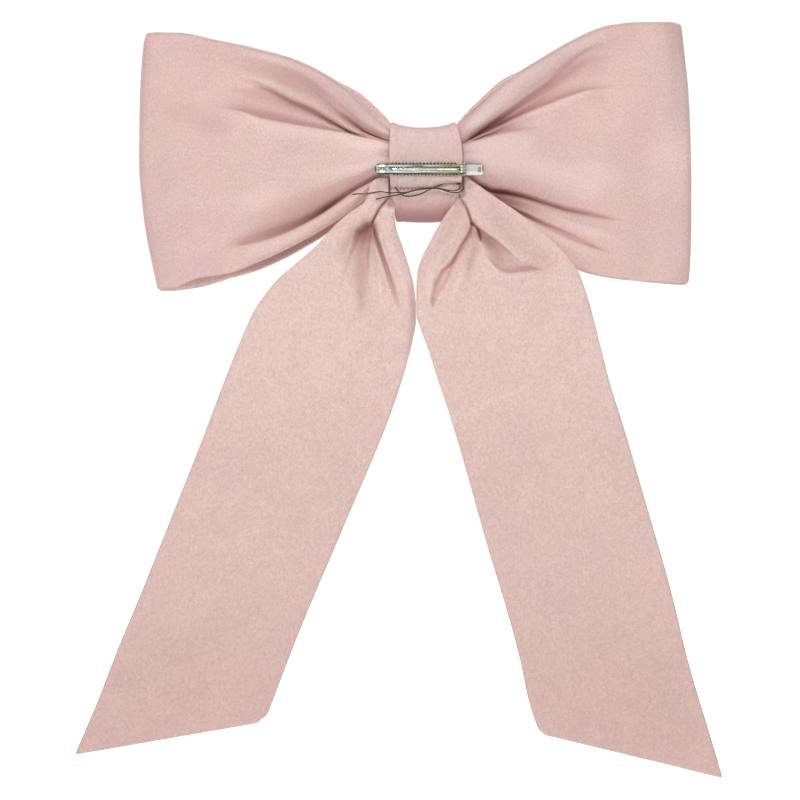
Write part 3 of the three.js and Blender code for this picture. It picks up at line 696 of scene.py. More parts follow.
RIGHT_CREASE = curve([
    (13, -1.6), (17.8, -3.4), (24.4, -7.8), (29, -9.5), (35.5, -10.4), (43.8, -12.3), (53, -15),
    (64.1, -18.3), (75.2, -20.6), (83.6, -22.5), (95, -24.2), (121, -25)])
RIGHT_TUCK = curve([
    (13, -2.6), (17.8, -5.4), (22, -8.8), (29.9, -13.2), (37.3, -17.4), (44.7, -21.1),
    (53, -25.2), (60.5, -28.5), (69.7, -32.6), (78.9, -36.3), (95, -40), (121, -42)])

# painted shade on the back panels, painted light where the amount is above 0:
# points (x, z, amount), reach above, reach below
LOOP_PAINTED_SHADE = [
    ([(-112, 55, -0.02), (-100, 54, -0.04), (-80, 50, -0.06), (-60, 44, -0.1),
      (-45.9, 36.9, -0.13), (-35.8, 27.6, -0.2), (-26, 20.5, -0.1)], 4, 4),
    ([(-90, 48, -0.03), (-75, 45, -0.12), (-62, 41, -0.2), (-52, 35.5, -0.16),
      (-44.1, 28.5, -0.05), (-34, 20.5, 0), (-23.7, 15, 0)], 4.5, 3.5),
    ([(-69, 39.6, -0.12), (-59.8, 35, -0.14), (-50.6, 29.5, -0.1), (-43.2, 24.8, -0.16),
      (-35.8, 20.2, -0.14), (-30, 17.2, -0.1)], 2.2, 2.4),
    ([(-90, 21.5, 0.05), (-70, 19, 0.02), (-50, 15.5, 0.03), (-35, 11, 0.05), (-24, 8, 0.12)],
     6, 7),
    ([(-86, -28, 0), (-76, -25, -0.08), (-66.6, -23, -0.18), (-57.8, -18.6, -0.24),
      (-50, -14, -0.16), (-42, -9.5, -0.04), (-32, -3, 0.05)], 6, 4),
    ([(-77.7, -32.2, 0), (-66.6, -28.4, -0.16), (-57.8, -24.2, -0.46), (-52, -20.8, -0.85),
      (-48, -18.2, -1.15), (-43, -14.8, -0.75), (-38, -11.4, -0.2), (-32, -7, 0)], 1, 0.8),
    ([(99.8, 62, 0), (76, 56.5, -0.08), (60, 49, -0.15), (45, 38, -0.12), (33, 28, -0.04),
      (24, 20, 0)], 4, 4.5),
    ([(64, 46, 0.06), (55.8, 41.7, 0.14), (46.6, 35.2, 0.22), (37.3, 28.5, 0.24),
      (29.9, 23, 0.22), (25, 19, 0)], 1.2, 0.9),
    ([(80, 46, -0.06), (68, 43, -0.06), (60, 38.5, -0.08), (50, 31.5, -0.2), (40, 25.2, -0.38),
      (33, 21.6, -0.9), (26, 18, -0.75), (20, 14.9, -0.4)], 2.4, 1.7),
    ([(79, 33, -0.08), (66, 30.5, 0), (55, 27, 0), (46, 23.5, -0.06), (37, 20, -0.16),
      (28, 16, 0)], 1.8, 1.8),
    ([(112, 5, 0.1), (96, 5, 0)], 14, 14),
    ([(76, -16, -0.02), (60, -11, -0.09), (50, -8, -0.11), (40, -5.4, -0.12), (28, -3, -0.1)],
     5, 3),
    ([(83.6, -22.5, 0), (75.2, -20.6, -0.1), (64.1, -18.3, -0.3), (53, -15, -0.42),
      (43.8, -12.3, -0.8), (35.5, -10.4, -1.25), (29, -9.5, -1.1), (24, -7.8, -0.8)],
     1.15, 0.95),
    ([(62, -25, -0.05), (52, -20.2, -0.12), (44, -16.6, -0.36), (38, -14.6, -0.7),
      (31, -12, -0.8)], 1.8, 2),
    ([(74, -34.4, 0.14), (65, -30.6, 0.28), (57, -27, 0.26), (50.5, -24, 0), (44.7, -21.1, -0.5),
      (37.3, -17.4, -0.65), (31, -13.8, -0.7)], 0.9, 0.7),
    ([(118, 45, 0.07), (118, -40, 0.05)], 6, 6),
]

# the loops seen from above: (x, y) from the middle of the back out over the left loop,
# along the front, and back round the right loop
LOOP_MIDDLE = -1.5
LOOP_PLAN = [
    (-1.5, 12.4), (-7, 12), (-12.5, 9.2), (-17.6, 6.7), (-22.5, 5.9), (-28, 5.9), (-36, 6.3),
    (-52, 6.6), (-76, 6.6), (-100, 8), (-119, 11.7), (-129.6, 15.6), (-132.4, 19.5),
    (-130, 23.6), (-119, 27.4), (-100, 31.4), (-76, 34.2), (-52, 33.2), (-33, 28.6),
    (-25, 25.4), (-18.6, 23.4), (-10, 23.1), (-1.5, 23.1), (7, 23.1), (15.6, 23.4), (22, 25.4),
    (30, 28.6), (48, 33.2), (70, 34.2), (92, 31.4), (108, 27.4), (117, 23.6), (119.6, 19.5),
    (116.8, 15.6), (108, 11.7), (92, 8), (70, 6.6), (48, 6.6), (33, 6.3), (25, 5.9),
    (19.5, 5.9), (14.6, 6.7), (9.5, 9.2), (4, 12)]
LEFT_SPAN = 18.4, 133.8     # distances from x = 0 where the folds start and end
RIGHT_SPAN = 15.2, 121.0
# the cloth's swell once the folds have run out: (share of its height, depth)
FAR_SWELL = [(1.0, -0.4), (0.93, 0.5), (0.78, 1.0), (0.5, 1.4), (0.28, 1.0), (0.10, 0.3),
             (0.0, -0.5)]


def profile(nodes, v):
    """Depth at fractions v of the cloth's height. Nodes run from the top edge down."""
    z = [nodes[0][0]]
    for height, _ in nodes[1:]:
        z.append(min(height, z[-1] - 0.0012))
    z = np.array(z)
    low = z[-1]
    if low < -0.001:
        z = z[0] + (z - z[0]) * (z[0] / (z[0] - low))
    depth = np.array([node[1] for node in nodes])
    return pchip(z[::-1], depth[::-1], v)


def as_shares(nodes, keys, top, bottom):
    """Node heights and row keys as shares of the cloth's height."""
    height = top - bottom
    return ([((z - bottom) / height, depth) for z, depth in nodes],
            (np.array(keys) - bottom) / height)


def left_style(along):
    """The left panel's section: a top edge, a valley, a roll, a recess, the broad lower face
    and a crease near the bottom. Each fold fades out with the distance from the knot."""
    reach = LEFT_SPAN[0] + along * (LEFT_SPAN[1] - LEFT_SPAN[0])
    top, bottom = LEFT_TOP_BACK(-reach), LEFT_BOTTOM_BACK(-reach)
    valley, upper, lower = LEFT_VALLEY(reach), LEFT_UPPER(reach), LEFT_LOWER(reach)
    crease = max(LEFT_CREASE(reach), bottom + 0.8)
    # strengths; folds are shallower close to the knot
    knot = 0.55 + 0.45 * ease(17, 26, reach)
    valley_on = 1 - 0.7 * ease(28, 46, reach) - 0.3 * ease(46, 66, reach)
    cut = ease(30, 38, reach) * fade(66, 92, reach)
    recess = fade(70, 98, reach)
    body = recess * knot
    fold = fade(64, 100, reach) * knot
    swell = fade(50, 118, reach) * knot
    dip, rest = valley_on * knot, (1 - valley_on) * swell
    wide = 1 + 2.5 * ease(60, 95, reach)
    crown, roll, gap, face = top - valley, valley - upper, upper - lower, lower - crease
    open_gap = ease(2.5, 6.0, gap)          # 0 where the recess is only a slit
    full = ease(1.2, 5.0, roll)             # 0 where the roll has no room
    floor = -2.1 * recess - 0.2
    shut = (1 - full) * floor
    nodes = [       # height, depth
        (top, -0.4),
        (top - 0.10 * crown, 1.2 * swell),
        (top - 0.36 * crown, 2.5 * swell),
        (top - 0.62 * crown, 2.1 * swell),
        (valley + 0.26 * crown, 0.6 * dip + 1.5 * rest),
        (valley + 0.08 * crown, -1.5 * dip + 1.4 * rest),
        (valley - 0.06 * roll, -3.0 * dip * (1.25 - 0.25 * full) + 1.3 * rest),
        (valley - 0.34 * roll, (-1.3 * dip + 1.4 * swell) * full + shut),
        (valley - 0.66 * roll, 2.0 * swell * full + shut),
        (upper + 0.9 * wide * full, (1.3 * swell + 0.1 * knot) * full + shut),
        (upper + 0.2 * wide * full, -0.9 * cut * full + shut),
        (upper - 0.3 * wide, -3.3 * cut * full + shut),
        (upper - 0.25 * gap - 0.5, floor - 0.4 * cut * open_gap),
        (0.4 * upper + 0.6 * lower, floor + 0.3 * recess * open_gap),
        (lower + 0.8, floor),
        (lower + 0.25, floor + 0.6 * recess),
        (lower - 0.35, 0.7 * body + 0.2 * knot),
        (lower - 1.6, 1.25 * body + 0.4 * knot),
        (lower - 0.18 * face, 1.5 * body + 0.8 * knot),
        (lower - 0.45 * face, 1.4 * body + 1.4 * knot),
        (crease + 0.42 * face, 0.9 * body + 1.4 * knot),
        (crease + 0.22 * face, 0.1 * fold + 0.8 * knot),
        (crease + 0.07 * face, -1.6 * fold + 0.2 * knot),
        (crease + 0.25, -3.0 * fold),
        (crease - 0.35, -2.4 * fold),
        (crease - 0.9, 0.1 * fold),
        (crease - 1.7, 1.1 * fold + 0.1 * knot),
        (0.55 * crease + 0.45 * bottom, 1.9 * fold + 0.2 * knot),
        (bottom + 0.2 * (crease - bottom), 1.1 * fold),
        (bottom, -0.5),
    ]
    keys = [crease, 0.5 * (lower + crease), lower, max(upper, lower + 0.25),
            max(valley, upper + 0.3, lower + 0.55)]
    return as_shares(nodes, keys, top, bottom)


def right_style(along):
    """The right panel's section: a top roll, a recess, a step, the broad face, a crease and,
    below it, a roll that comes out of a pocket above the tuck."""
    reach = RIGHT_SPAN[0] + along * (RIGHT_SPAN[1] - RIGHT_SPAN[0])
    top, bottom = RIGHT_TOP_BACK(reach), RIGHT_BOTTOM_BACK(reach)
    upper, lower, step = RIGHT_UPPER(reach), RIGHT_LOWER(reach), RIGHT_STEP(reach)
    crease = max(RIGHT_CREASE(reach), bottom + 2.2)
    tuck = min(max(RIGHT_TUCK(reach), bottom + 1.0), crease - 0.8)
    # strengths; folds are shallower close to the knot
    knot = 0.55 + 0.45 * ease(14, 23, reach)
    cut = fade(44, 84, reach)
    recess = fade(56, 90, reach)
    ledge = fade(30, 58, reach)
    fold = fade(62, 98, reach)
    low = fade(58, 92, reach)
    out = ease(28, 50, reach)
    pocket = 1 - out
    swell = fade(50, 112, reach)
    rest = swell * (1 - cut)
    wide = 1 + 2.5 * ease(52, 85, reach)
    crown, gap, face, under = top - upper, upper - lower, step - crease, crease - tuck
    open_gap = ease(1.2, 4.5, gap)          # 0 where the recess is only a slit
    floor = -2.5 * recess * (0.55 + 0.45 * cut) - 0.2
    nodes = [       # height, depth
        (top, -0.4),
        (top - 0.10 * crown, 1.3 * swell * knot),
        (top - 0.42 * crown, 2.9 * swell * knot),
        (upper + 0.30 * crown, (2.3 * swell + 0.1) * knot),
        (upper + 0.12 * crown + 0.2, (swell * cut + 1.2 * rest + 0.1) * knot),
        (upper + 0.25 * wide, (-0.7 * cut + 0.8 * rest) * knot),
        (upper - 0.35 * wide, -2.1 * cut * knot + 0.4 * rest),
        (upper - 0.25 * gap - 0.5, floor - 0.3 * cut * open_gap),
        (0.4 * upper + 0.6 * lower, floor + 0.4 * recess * open_gap),
        (lower + 0.8, floor + 0.2),
        (lower + 0.25, floor + 0.7 * recess),
        (lower - 0.4, (0.2 * recess + 0.2) * knot),
        (lower - 1.3, (0.6 * recess + 0.4) * knot),
        (0.5 * (lower + step), (0.5 * recess - 1.3 * ledge + 0.7) * knot),
        (step + 0.9, (-1.8 * ledge + 1.1) * knot),
        (step + 0.2, (-1.0 * ledge + 1.1) * knot),
        (step - 0.5, (0.5 * ledge + 1.1) * knot),
        (step - 0.20 * face, (1.2 * ledge + 1.4) * knot),
        (step - 0.48 * face, (1.0 * ledge + 1.7) * knot),
        (crease + 0.26 * face, (0.3 * fold + 1.1) * knot),
        (crease + 0.10 * face, (-0.5 * fold + 0.6) * knot),
        (crease + 0.5, (-1.5 * fold + 0.1) * knot),
        (crease - 0.15, -2.7 * fold * knot),
        (crease - 0.8, -3.3 * fold * (1 - 0.45 * out) * knot),
        (0.72 * crease + 0.28 * tuck, (-3.2 * pocket - 0.7 * out * fold) * knot),
        (0.45 * crease + 0.55 * tuck, (-3.1 * pocket + 0.5 * out) * knot),
        (tuck + 0.18 * under, -3.0 * pocket * knot),
        (tuck + 0.2, (-2.8 * pocket - 1.9 * out * low) * knot),
        (tuck - 0.5, -2.3 * low * knot),
        (tuck - 1.3, (-0.4 * low + 0.1) * knot),
        (0.6 * tuck + 0.4 * bottom, (0.9 * low + 0.1) * knot),
        (bottom + 0.2 * (tuck - bottom), 0.9 * low * knot),
        (bottom, -0.5),
    ]
    keys = [tuck, crease, step, max(lower, step + 0.25),
            max(upper, lower + 0.3, step + 0.55)]
    return as_shares(nodes, keys, top, bottom)


def fold_relief(left, reach, along, front, back_on, front_on, rows):
    """Each station's rows as shares of the cloth's height, and how far they stand out.
    The rows gather at the fold lines. The front panels take the other side's folds."""
    far = np.where(left, ease(84, 106, reach), ease(76, 100, reach))
    t = np.arange(rows // 6) / (rows // 6)
    spacing = 0.38 * t + 0.62 * (1 - np.cos(np.pi * t)) / 2
    shares, depths = [], []
    for i in range(len(reach)):
        place = np.clip(along[i, 0], -0.02, 1.0)
        styles = [left_style(place), right_style(place)]
        (own, own_keys), (other, other_keys) = styles if left[i, 0] else styles[::-1]
        keys = own_keys * (1 - front[i]) + other_keys * front[i]
        keys = np.concatenate([[0.0], keys, [1.0]])
        v = [keys[k] + (keys[k + 1] - keys[k]) * spacing for k in range(6)]
        v = np.concatenate(v + [[1.0]])
        swell = far[i] * profile(FAR_SWELL, v)
        back = back_on[i] * ((1 - far[i]) * profile(own, v) + swell)
        ahead = front_on[i] * ((1 - far[i]) * profile(other, v) + swell)
        shares.append(v)
        depths.append(back + ahead * (0.15 + 0.85 * ease(0.0, 0.25, 1 - v)))
    return np.array(shares), np.array(depths)


def drape(left, along, V, back_on, front_on):
    """Slow drape over each panel, and small pulls that fan out from the waist."""
    shape = 320, 420
    place = np.clip(along, 0, 1) * (shape[0] - 1) + 0 * V
    row = np.linspace(0, 1, shape[0])[:, None]
    D = np.zeros_like(V)
    panels = (back_on, left, 11), (back_on, ~left, 12), (front_on, left, 13), (front_on, ~left, 14)
    for share, panel, seed in panels:
        A = (smooth_noise(shape, (70, 120), seed) * 0.9
             + smooth_noise(shape, (30, 44), seed + 50) * 0.28)
        A = (A * ease(0.03, 0.3, row) * fade(0.9, 1.0, row)
             + smooth_noise(shape, (120, 15), seed + 90) * 0.42 * np.exp(-row / 0.2))
        D += np.where(panel, share * sample(A, place, V * (shape[1] - 1)), 0)
    return D


def loops(stations, rows):
    """Both loops as one closed ring of doubled cloth; returns the outer and inner layers."""
    plan = catmull(LOOP_PLAN, stations, closed=True)
    tangent = np.roll(plan, -1, 0) - np.roll(plan, 1, 0)
    tangent /= np.linalg.norm(tangent, axis=1, keepdims=True)
    out_x, out_y = -tangent[:, 1:], tangent[:, :1]
    plan_x, plan_y = plan[:, :1], plan[:, 1:]
    left = plan_x < LOOP_MIDDLE
    reach = np.where(left, -plan_x, plan_x)
    start, end = (np.where(left, a, b) for a, b in zip(LEFT_SPAN, RIGHT_SPAN))
    along = (reach - start) / (end - start)
    front = ease(15.0, 24.0, plan_y)        # 0 on the back panels, 1 on the front ones
    back_on, front_on = fade(0.0, 0.55, front), ease(0.45, 1.0, front)
    V, D = fold_relief(left, reach, along, front, back_on, front_on, rows)

    def outline(edges):
        left_back, left_front, right_back, right_front = (edge(plan_x) for edge in edges)
        return np.where(left, left_back * (1 - front) + left_front * front,
                        right_back * (1 - front) + right_front * front)

    top, bottom = outline(TOP_EDGES), outline(BOTTOM_EDGES)
    height = top - bottom
    Z = bottom + height * V
    D = blur(D + drape(left, along, V, back_on, front_on), 1, axes=(0,))
    outermost = np.abs(plan_x / np.where(left, 132.4, 119.6)) ** 4
    X = plan_x + np.where(left, LEFT_END(Z) + 134.0, RIGHT_END(Z) - 121.0) * outermost
    D *= 1.0 + 0.30 * back_on
    # inside the band the folds stay, pressed small
    D *= (0.5 + 0.5 * ease(-0.03, 0.05, along)) * ease(-0.16, -0.04, along)
    # near the knot the back panels' lower part lies deeper
    lowered = fade(0.15, 0.6, front) * fade(46, 84, reach) * (reach > 8)
    Y = plan_y + 3.0 * lowered * fade(-9.0, 2.5, Z + 0.16 * (reach - 20))
    # the panels' edges come together
    on_front = ease(0.3, 1.0, front)
    pinch = fade(0.0, 0.24, V) * fade(0.84, 0.99, along) * ease(0.0, 0.10, along)
    Y = Y - (12.0 - 3.0 * ease(0.3, 0.8, along)) * pinch * on_front
    Y = Y + 2.0 * fade(0.0, 0.16, 1 - V) * fade(0.7, 0.97, along) * on_front
    # the right loop's outer fold returns in a soft upright roll
    upright = 0.7 * bell(plan_x - 110, 5.0) - 0.55 * bell(plan_x - 100, 5.5)
    D = D + np.where(left, 0.0, upright) * (1 - front)
    X = X + out_x * D
    Y = Y + out_y * D
    M = spread(grid(X, Y, Z), plan_y)
    outward = grid(out_x, out_y, np.zeros_like(X))
    edge_distance = np.minimum(V, 1 - V) * height
    half = puff(edge_distance)[..., None]
    fab = grid(arc_length(plan)[:, None], V * np.maximum(height, 60), 0.0)
    # painted highlight on ridges and along the sewn edges, painted shade in creases
    curv = (D - blur(D, 12, axes=(1,))) * 0.9 + (D - blur(D, 160, axes=(1,))) * 0.30
    curv = np.clip(np.clip(curv, -1, 0.6) + 0.75 * np.exp(-edge_distance / 0.9), -1, 1)
    # painted shade and light on the back panels, along the listed lines
    tone = sum(shade(X, Z, *row) for row in LOOP_PAINTED_SHADE)
    tone = np.clip(tone, -2.2, 0.35) * (1 - front)
    core = 0.06 / CLOTH_HALF        # the layers' hidden faces almost touch
    outer = sheet("loops_outer_velvet", M + outward * half, M + outward * half * core,
                  True, fab, curv, tone)
    # the lining is lifted all over by painted light
    inner = sheet("loops_inner_velvet", (M - outward * half)[::2],
                  (M - outward * half * core)[::2], True, fab[::2], -curv[::2],
                  np.full_like(curv[::2], 0.22))
    return outer, inner


loops_outer, loops_inner = loops(480, 102)
fit(loops_outer, "velvet_loops", "loops_outer_layer")
fit(loops_inner, "velvet_lining", "loops_inner_layer")

# ------------------------------------------------------------------ tails

TAIL_LENGTH = 266.0
LEFT_TAIL = dict(
    seed=21, start_z=-4.0, outer_end_z=-270.8, inner_end_z=-255.6, inner_corner=5.0,
    pivot_x=-0.038,     # metres
    # edges: (z, x)
    outer=curve([
        (-4, -24.5), (-5.5, -26.3), (-14.5, -29.7), (-20.4, -37.6), (-25.3, -43.2), (-33.8, -51),
        (-43.4, -61.7), (-50.8, -70.2), (-58.6, -76.5), (-64.9, -80.8), (-69.1, -82.9),
        (-134, -108.6), (-199, -134.7), (-221, -144), (-243, -152.4), (-269.8, -163.7),
        (-273, -165)]),
    inner=curve([
        (-4, -13), (-12, -14), (-14, -15), (-20.4, -16), (-26.7, -15.4), (-34.4, -12.8),
        (-45, -9.4), (-54.3, -7.1), (-62.9, -6.2), (-70, -6.2), (-77.7, -7.5), (-88.3, -10),
        (-100.4, -13.6), (-115.3, -18.8), (-166, -40), (-213.2, -59.8), (-244.3, -71.8),
        (-262, -78.5)]),
    # fold lines: height, reach left and right of travel, fade in and out, points (x, z)
    strokes=[
        (1.9, 4.5, 4.5, 0.1, 0.5, [(-22.5, -8), (-29, -18.5), (-36, -26), (-44, -35.5),
                                   (-55, -48)]),
        (2.5, 4.2, 4.2, 0.05, 0.4, [(-17.6, -16), (-19.6, -26), (-17.6, -36), (-12.6, -48),
                                    (-9.6, -60), (-9, -74)]),
        (1.5, 2, 2, 0.25, 0.45, [(-26.2, -30), (-25.6, -38), (-24, -46), (-22.4, -55),
                                 (-21.4, -66)]),
        (-2.6, 0.7, 0.7, 0, 0.02, [(-18.4, -13), (-19.6, -13.8), (-23.3, -18.6), (-26, -23.7),
                                   (-26.5, -24.9)]),
        (-1.2, 0.9, 0.6, 0, 0.5, [(-26.5, -24.5), (-29.3, -25.7), (-33, -28.5), (-34.5, -32.5),
                                  (-35.6, -36)]),
        (-2.9, 1.3, 0.6, 0.02, 0.45, [(-26.4, -24.6), (-25.6, -28.4), (-23.3, -36.2),
                                      (-21, -42.7), (-18.2, -51.9), (-15.4, -61.2),
                                      (-12.6, -70)]),
        (-1.7, 0.6, 0.8, 0.05, 0.45, [(-26.6, -25), (-27, -28.8), (-27.9, -35.3),
                                      (-28.4, -42.7), (-27.9, -51)]),
        (0.42, 0.45, 0.45, 0.1, 0.3, [(-24.2, -25.1), (-21.4, -36.2), (-17.7, -46.4),
                                      (-14, -55.6), (-11.4, -65)]),
        (-0.42, 0.45, 0.45, 0.1, 0.3, [(-23.3, -25.1), (-20.6, -36.2), (-16.8, -46.4),
                                       (-13.2, -55.6), (-10.7, -64)]),
        (-0.45, 0.8, 0.8, 0.25, 0.5, [(-20, -41.8), (-13.6, -44.5), (-8.9, -51.9)]),
        (-0.8, 2.4, 2.4, 0.3, 0.5, [(-33, -50), (-32.2, -60), (-31, -74)]),
        (-0.7, 7, 7, 0.3, 0.4, [(-60, -60), (-62, -80), (-70, -112)]),
        (0.8, 8, 8, 0.3, 0.4, [(-44, -58), (-47, -84), (-52, -108)]),
        (0.6, 4, 4, 0.3, 0.4, [(-68, -51), (-74, -60), (-79, -72)]),
    ],
    # sunk areas: depth, slope's start and end inside the edge, share gone by z = -60, (x, z)
    pockets=[
        (2.7, -0.5, 1.6, 0.96, [
            (-26.4, -24.6), (-29.3, -25.6), (-33, -28.4), (-34.6, -32.5), (-36.4, -37.1),
            (-39.6, -44.5), (-41.5, -56), (-36, -64), (-29, -62), (-27.9, -50.1),
            (-28.4, -42.7), (-27.9, -35.3), (-27, -28.8)])],
    # parts shifted in Y: shift, share of the folds lost, range in X, ranges in Z
    shifts=[(3.4, 0.6, (-19.4, -18), [(-18, -14.5)]), (1.6, 0, (-29, -19.5), [(-30, -12)])],
    # painted shade, painted light where the amount is above 0: reach, points (x, z, amount)
    painted_shade=[
        (3.3, [(-28.5, -26.8, -0.85), (-30, -29, -0.85), (-31, -34, -0.42), (-32, -40, -0.24),
               (-32, -48, -0.28), (-31, -58, -0.16), (-30, -68, 0)]),
        (3, [(-34.5, -29, -0.25), (-38.5, -35, -0.2), (-42, -44, 0)]),
        (1.2, [(-26.2, -31, -0.35), (-25.6, -38, -0.26), (-24.2, -46, -0.14), (-22.6, -54, 0),
               (-21, -64, 0.05)]),
        (0.9, [(-25.6, -28.4, -0.35), (-23.3, -36.2, -0.28), (-21, -42.7, -0.1),
               (-18.2, -51.9, 0.08), (-15.4, -61.2, 0.12), (-13, -69, 0)]),
        (0.45, [(-19.6, -13.8, -0.25), (-23.3, -18.6, -0.35), (-26.2, -24.2, -0.5)]),
        (1.8, [(-9, -54, -0.1), (-7.6, -62, -0.22), (-7.4, -72, -0.22), (-9.8, -84, -0.1)]),
    ])
RIGHT_TAIL = dict(      # the same columns
    seed=31, start_z=-3.2, outer_end_z=-281.6, inner_end_z=-261.0, inner_corner=3.0,
    pivot_x=0.032,
    outer=curve([
        (-3.2, 17.4), (-3.8, 18.2), (-10.3, 27), (-17.7, 38.1), (-25.9, 49.2), (-33.3, 57.2),
        (-40.7, 64.6), (-45.9, 68.3), (-53.2, 71.3), (-65.1, 75), (-79.7, 78.7), (-99.6, 83.8),
        (-113.7, 88.2), (-155, 100.4), (-199, 113), (-226.3, 119.6), (-270.2, 132.6),
        (-282.7, 136.2)]),
    inner=curve([
        (-3.2, 11), (-12, 12.6), (-13.4, 12.9), (-19.3, 8.6), (-25.1, 4.9), (-33.3, 0.3),
        (-42.2, -4), (-48.1, -5.5), (-56.1, -6), (-66.5, -6), (-74, -3.9), (-81.3, -1.2),
        (-98.2, 4.3), (-115.2, 10), (-170, 25.7), (-226.8, 41.9), (-244.3, 45.6),
        (-257.3, 49.7), (-264, 52.6)]),
    strokes=[
        (2.2, 4.8, 4.8, 0.08, 0.45, [(19, -7), (28, -18.5), (37, -26.5), (46, -34.5),
                                     (56, -43.5)]),
        (2.7, 4, 4, 0.05, 0.4, [(13.2, -15), (13.6, -24), (8.6, -33), (3, -42), (-0.5, -52),
                                (-1.4, -66)]),
        (1.4, 2.6, 2.6, 0.15, 0.45, [(20.6, -29), (19.6, -35), (17, -43), (13.6, -52),
                                     (9.6, -62), (7, -72)]),
        (-2.6, 0.7, 0.7, 0, 0.02, [(13.6, -12), (14.2, -13.1), (17, -17.7), (18.8, -22.3),
                                   (19.7, -25.3)]),
        (-2.5, 1.6, 0.7, 0, 0.5, [(19.7, -25.1), (18.8, -28.8), (16, -33.4), (13.3, -38.1),
                                  (10.5, -42.7), (5.9, -47), (2, -53)]),
        (-2.4, 0.6, 0.5, 0, 0.25, [(19.7, -25.1), (22.1, -27), (23.4, -30.7), (24, -33.6)]),
        (-1.9, 0.7, 2.4, 0.05, 0.5, [(21.6, -26.6), (25.5, -29.6), (29.9, -32.5),
                                     (35.5, -37.1), (43, -43.6)]),
        (-1.25, 1.4, 0.6, 0.25, 0.5, [(25.6, -37.6), (27.1, -39.9), (30.8, -44.5),
                                      (35.5, -47.3), (42, -46.9), (55, -46.2)]),
        (0.6, 0.9, 1.6, 0.3, 0.5, [(28.8, -44.6), (34.6, -48.8), (42, -48.6), (52, -47.8)]),
        (0.4, 0.45, 0.45, 0.1, 0.4, [(12.9, -14), (8.2, -21.4), (4.5, -29.7), (1.8, -38.1),
                                     (0.2, -48)]),
        (-0.36, 0.45, 0.45, 0.1, 0.4, [(13.8, -14.4), (9.1, -21.7), (5.4, -30), (2.7, -38.4),
                                       (1.1, -48)]),
        (0.45, 0.8, 0.8, 0.3, 0.3, [(15.1, -21.4), (13.3, -28.8), (9.6, -35.3)]),
        (-0.7, 8, 8, 0.3, 0.4, [(45, -60), (50, -85), (58, -118)]),
        (0.5, 4, 4, 0.3, 0.4, [(64, -42), (70, -56), (74, -72)]),
    ],
    pockets=[
        (2.2, -0.6, 1.5, 0, [
            (16.4, -32.6), (14.6, -36.2), (11.8, -43.6), (9.9, -49.2), (6.2, -55.6), (1.4, -64),
            (0.3, -61), (2, -51.9), (5.7, -46.4), (10.3, -41.6), (14, -36.6)]),
        (1.9, -1.6, 2.4, 0, [
            (23.4, -30), (29.9, -32.5), (35.5, -37.1), (42, -43), (52, -46), (42, -47),
            (35.5, -47.4), (30.8, -44.6), (27.1, -39.9)])],
    shifts=[(3.1, 0.6, (16.8, 15.2), [(-13.6, -11.6)]), (1.9, 0, (27, 17), [(-18, -6)]),
            (-0.9, 0.35, (19, 15), [(-12, -14.5), (-36, -27)])],
    painted_shade=[
        (4.5, [(22, -13, 0), (30, -23, -0.13), (37, -30.5, -0.12), (46, -37.5, -0.1),
               (54, -43, -0.1)]),
        (3.2, [(14, -18, -0.14), (10, -26, -0.1), (6.5, -34, -0.12), (2, -44, -0.05),
               (-1, -56, 0)]),
        (2.6, [(20.5, -28, -0.22), (20.2, -36, -0.22), (18, -44, -0.18), (15, -50, 0)]),
        (2.4, [(24, -30, -0.45), (28.5, -34.5, -0.42), (32, -40.5, -0.3), (38, -44.5, -0.08),
               (48, -45.4, -0.1)]),
        (1.6, [(13.8, -36.5, 0), (11, -42, 0.1), (7, -49, 0.2), (3, -58, 0.12)]),
        (0.45, [(14.2, -13.1, -0.2), (17, -17.7, -0.3), (19.2, -23.4, -0.4), (19.4, -27, -0.3),
                (16.4, -33, -0.2)]),
        (0.5, [(20.4, -25.4, -0.4), (22.6, -28, -0.6), (23.8, -32.6, -0.5)]),
    ])


def tail_outline(spec, t, W):
    """X and Z of a tail's grid, with the two corners of its lower end rounded."""
    outer_z, inner_z = (spec["start_z"] + (spec[end] - spec["start_z"]) * t
                        for end in ("outer_end_z", "inner_end_z"))
    outer_x, inner_x = spec["outer"](outer_z), spec["inner"](inner_z)
    X = outer_x * (1 - W) + inner_x * W
    Z = outer_z * (1 - W) + inner_z * W
    width = np.abs(inner_x - outer_x)
    inward = np.sign(inner_x - outer_x)
    for across, radius, direction in ((W * width, 1.6, inward),
                                      ((1 - W) * width, spec["inner_corner"], -inward)):
        up = np.clip(radius - (1 - t) * TAIL_LENGTH, 0, None)
        side = np.clip(radius - across, 0, None)
        corner = np.hypot(up, side)
        keep = np.where(corner > 0, np.maximum(up, side) / np.maximum(corner, 1e-9), 1.0)
        Z = Z + up - up * keep
        X = X + direction * (side - side * keep)
    return X, Z, width


def tail_relief(spec, X, Z):
    """The folds near the knot, as heights toward the back, and the slow drape below them."""
    D = sum(stroke(X, Z, *row) for row in spec["strokes"])
    for depth, start, end, gone, outline in spec["pockets"]:
        sunk = ease(start, end, inside(X, Z, outline))
        D -= depth * sunk * (1 - gone * ease(-28.0, -60.0, Z))
    D = np.clip(D, -4.6, 4.6)
    D += smooth_noise(D.shape, (34, 40), spec["seed"]) * 0.55 * ease(-30, -70, Z)
    return D + smooth_noise(D.shape, (16, 16), spec["seed"] + 5) * 0.16


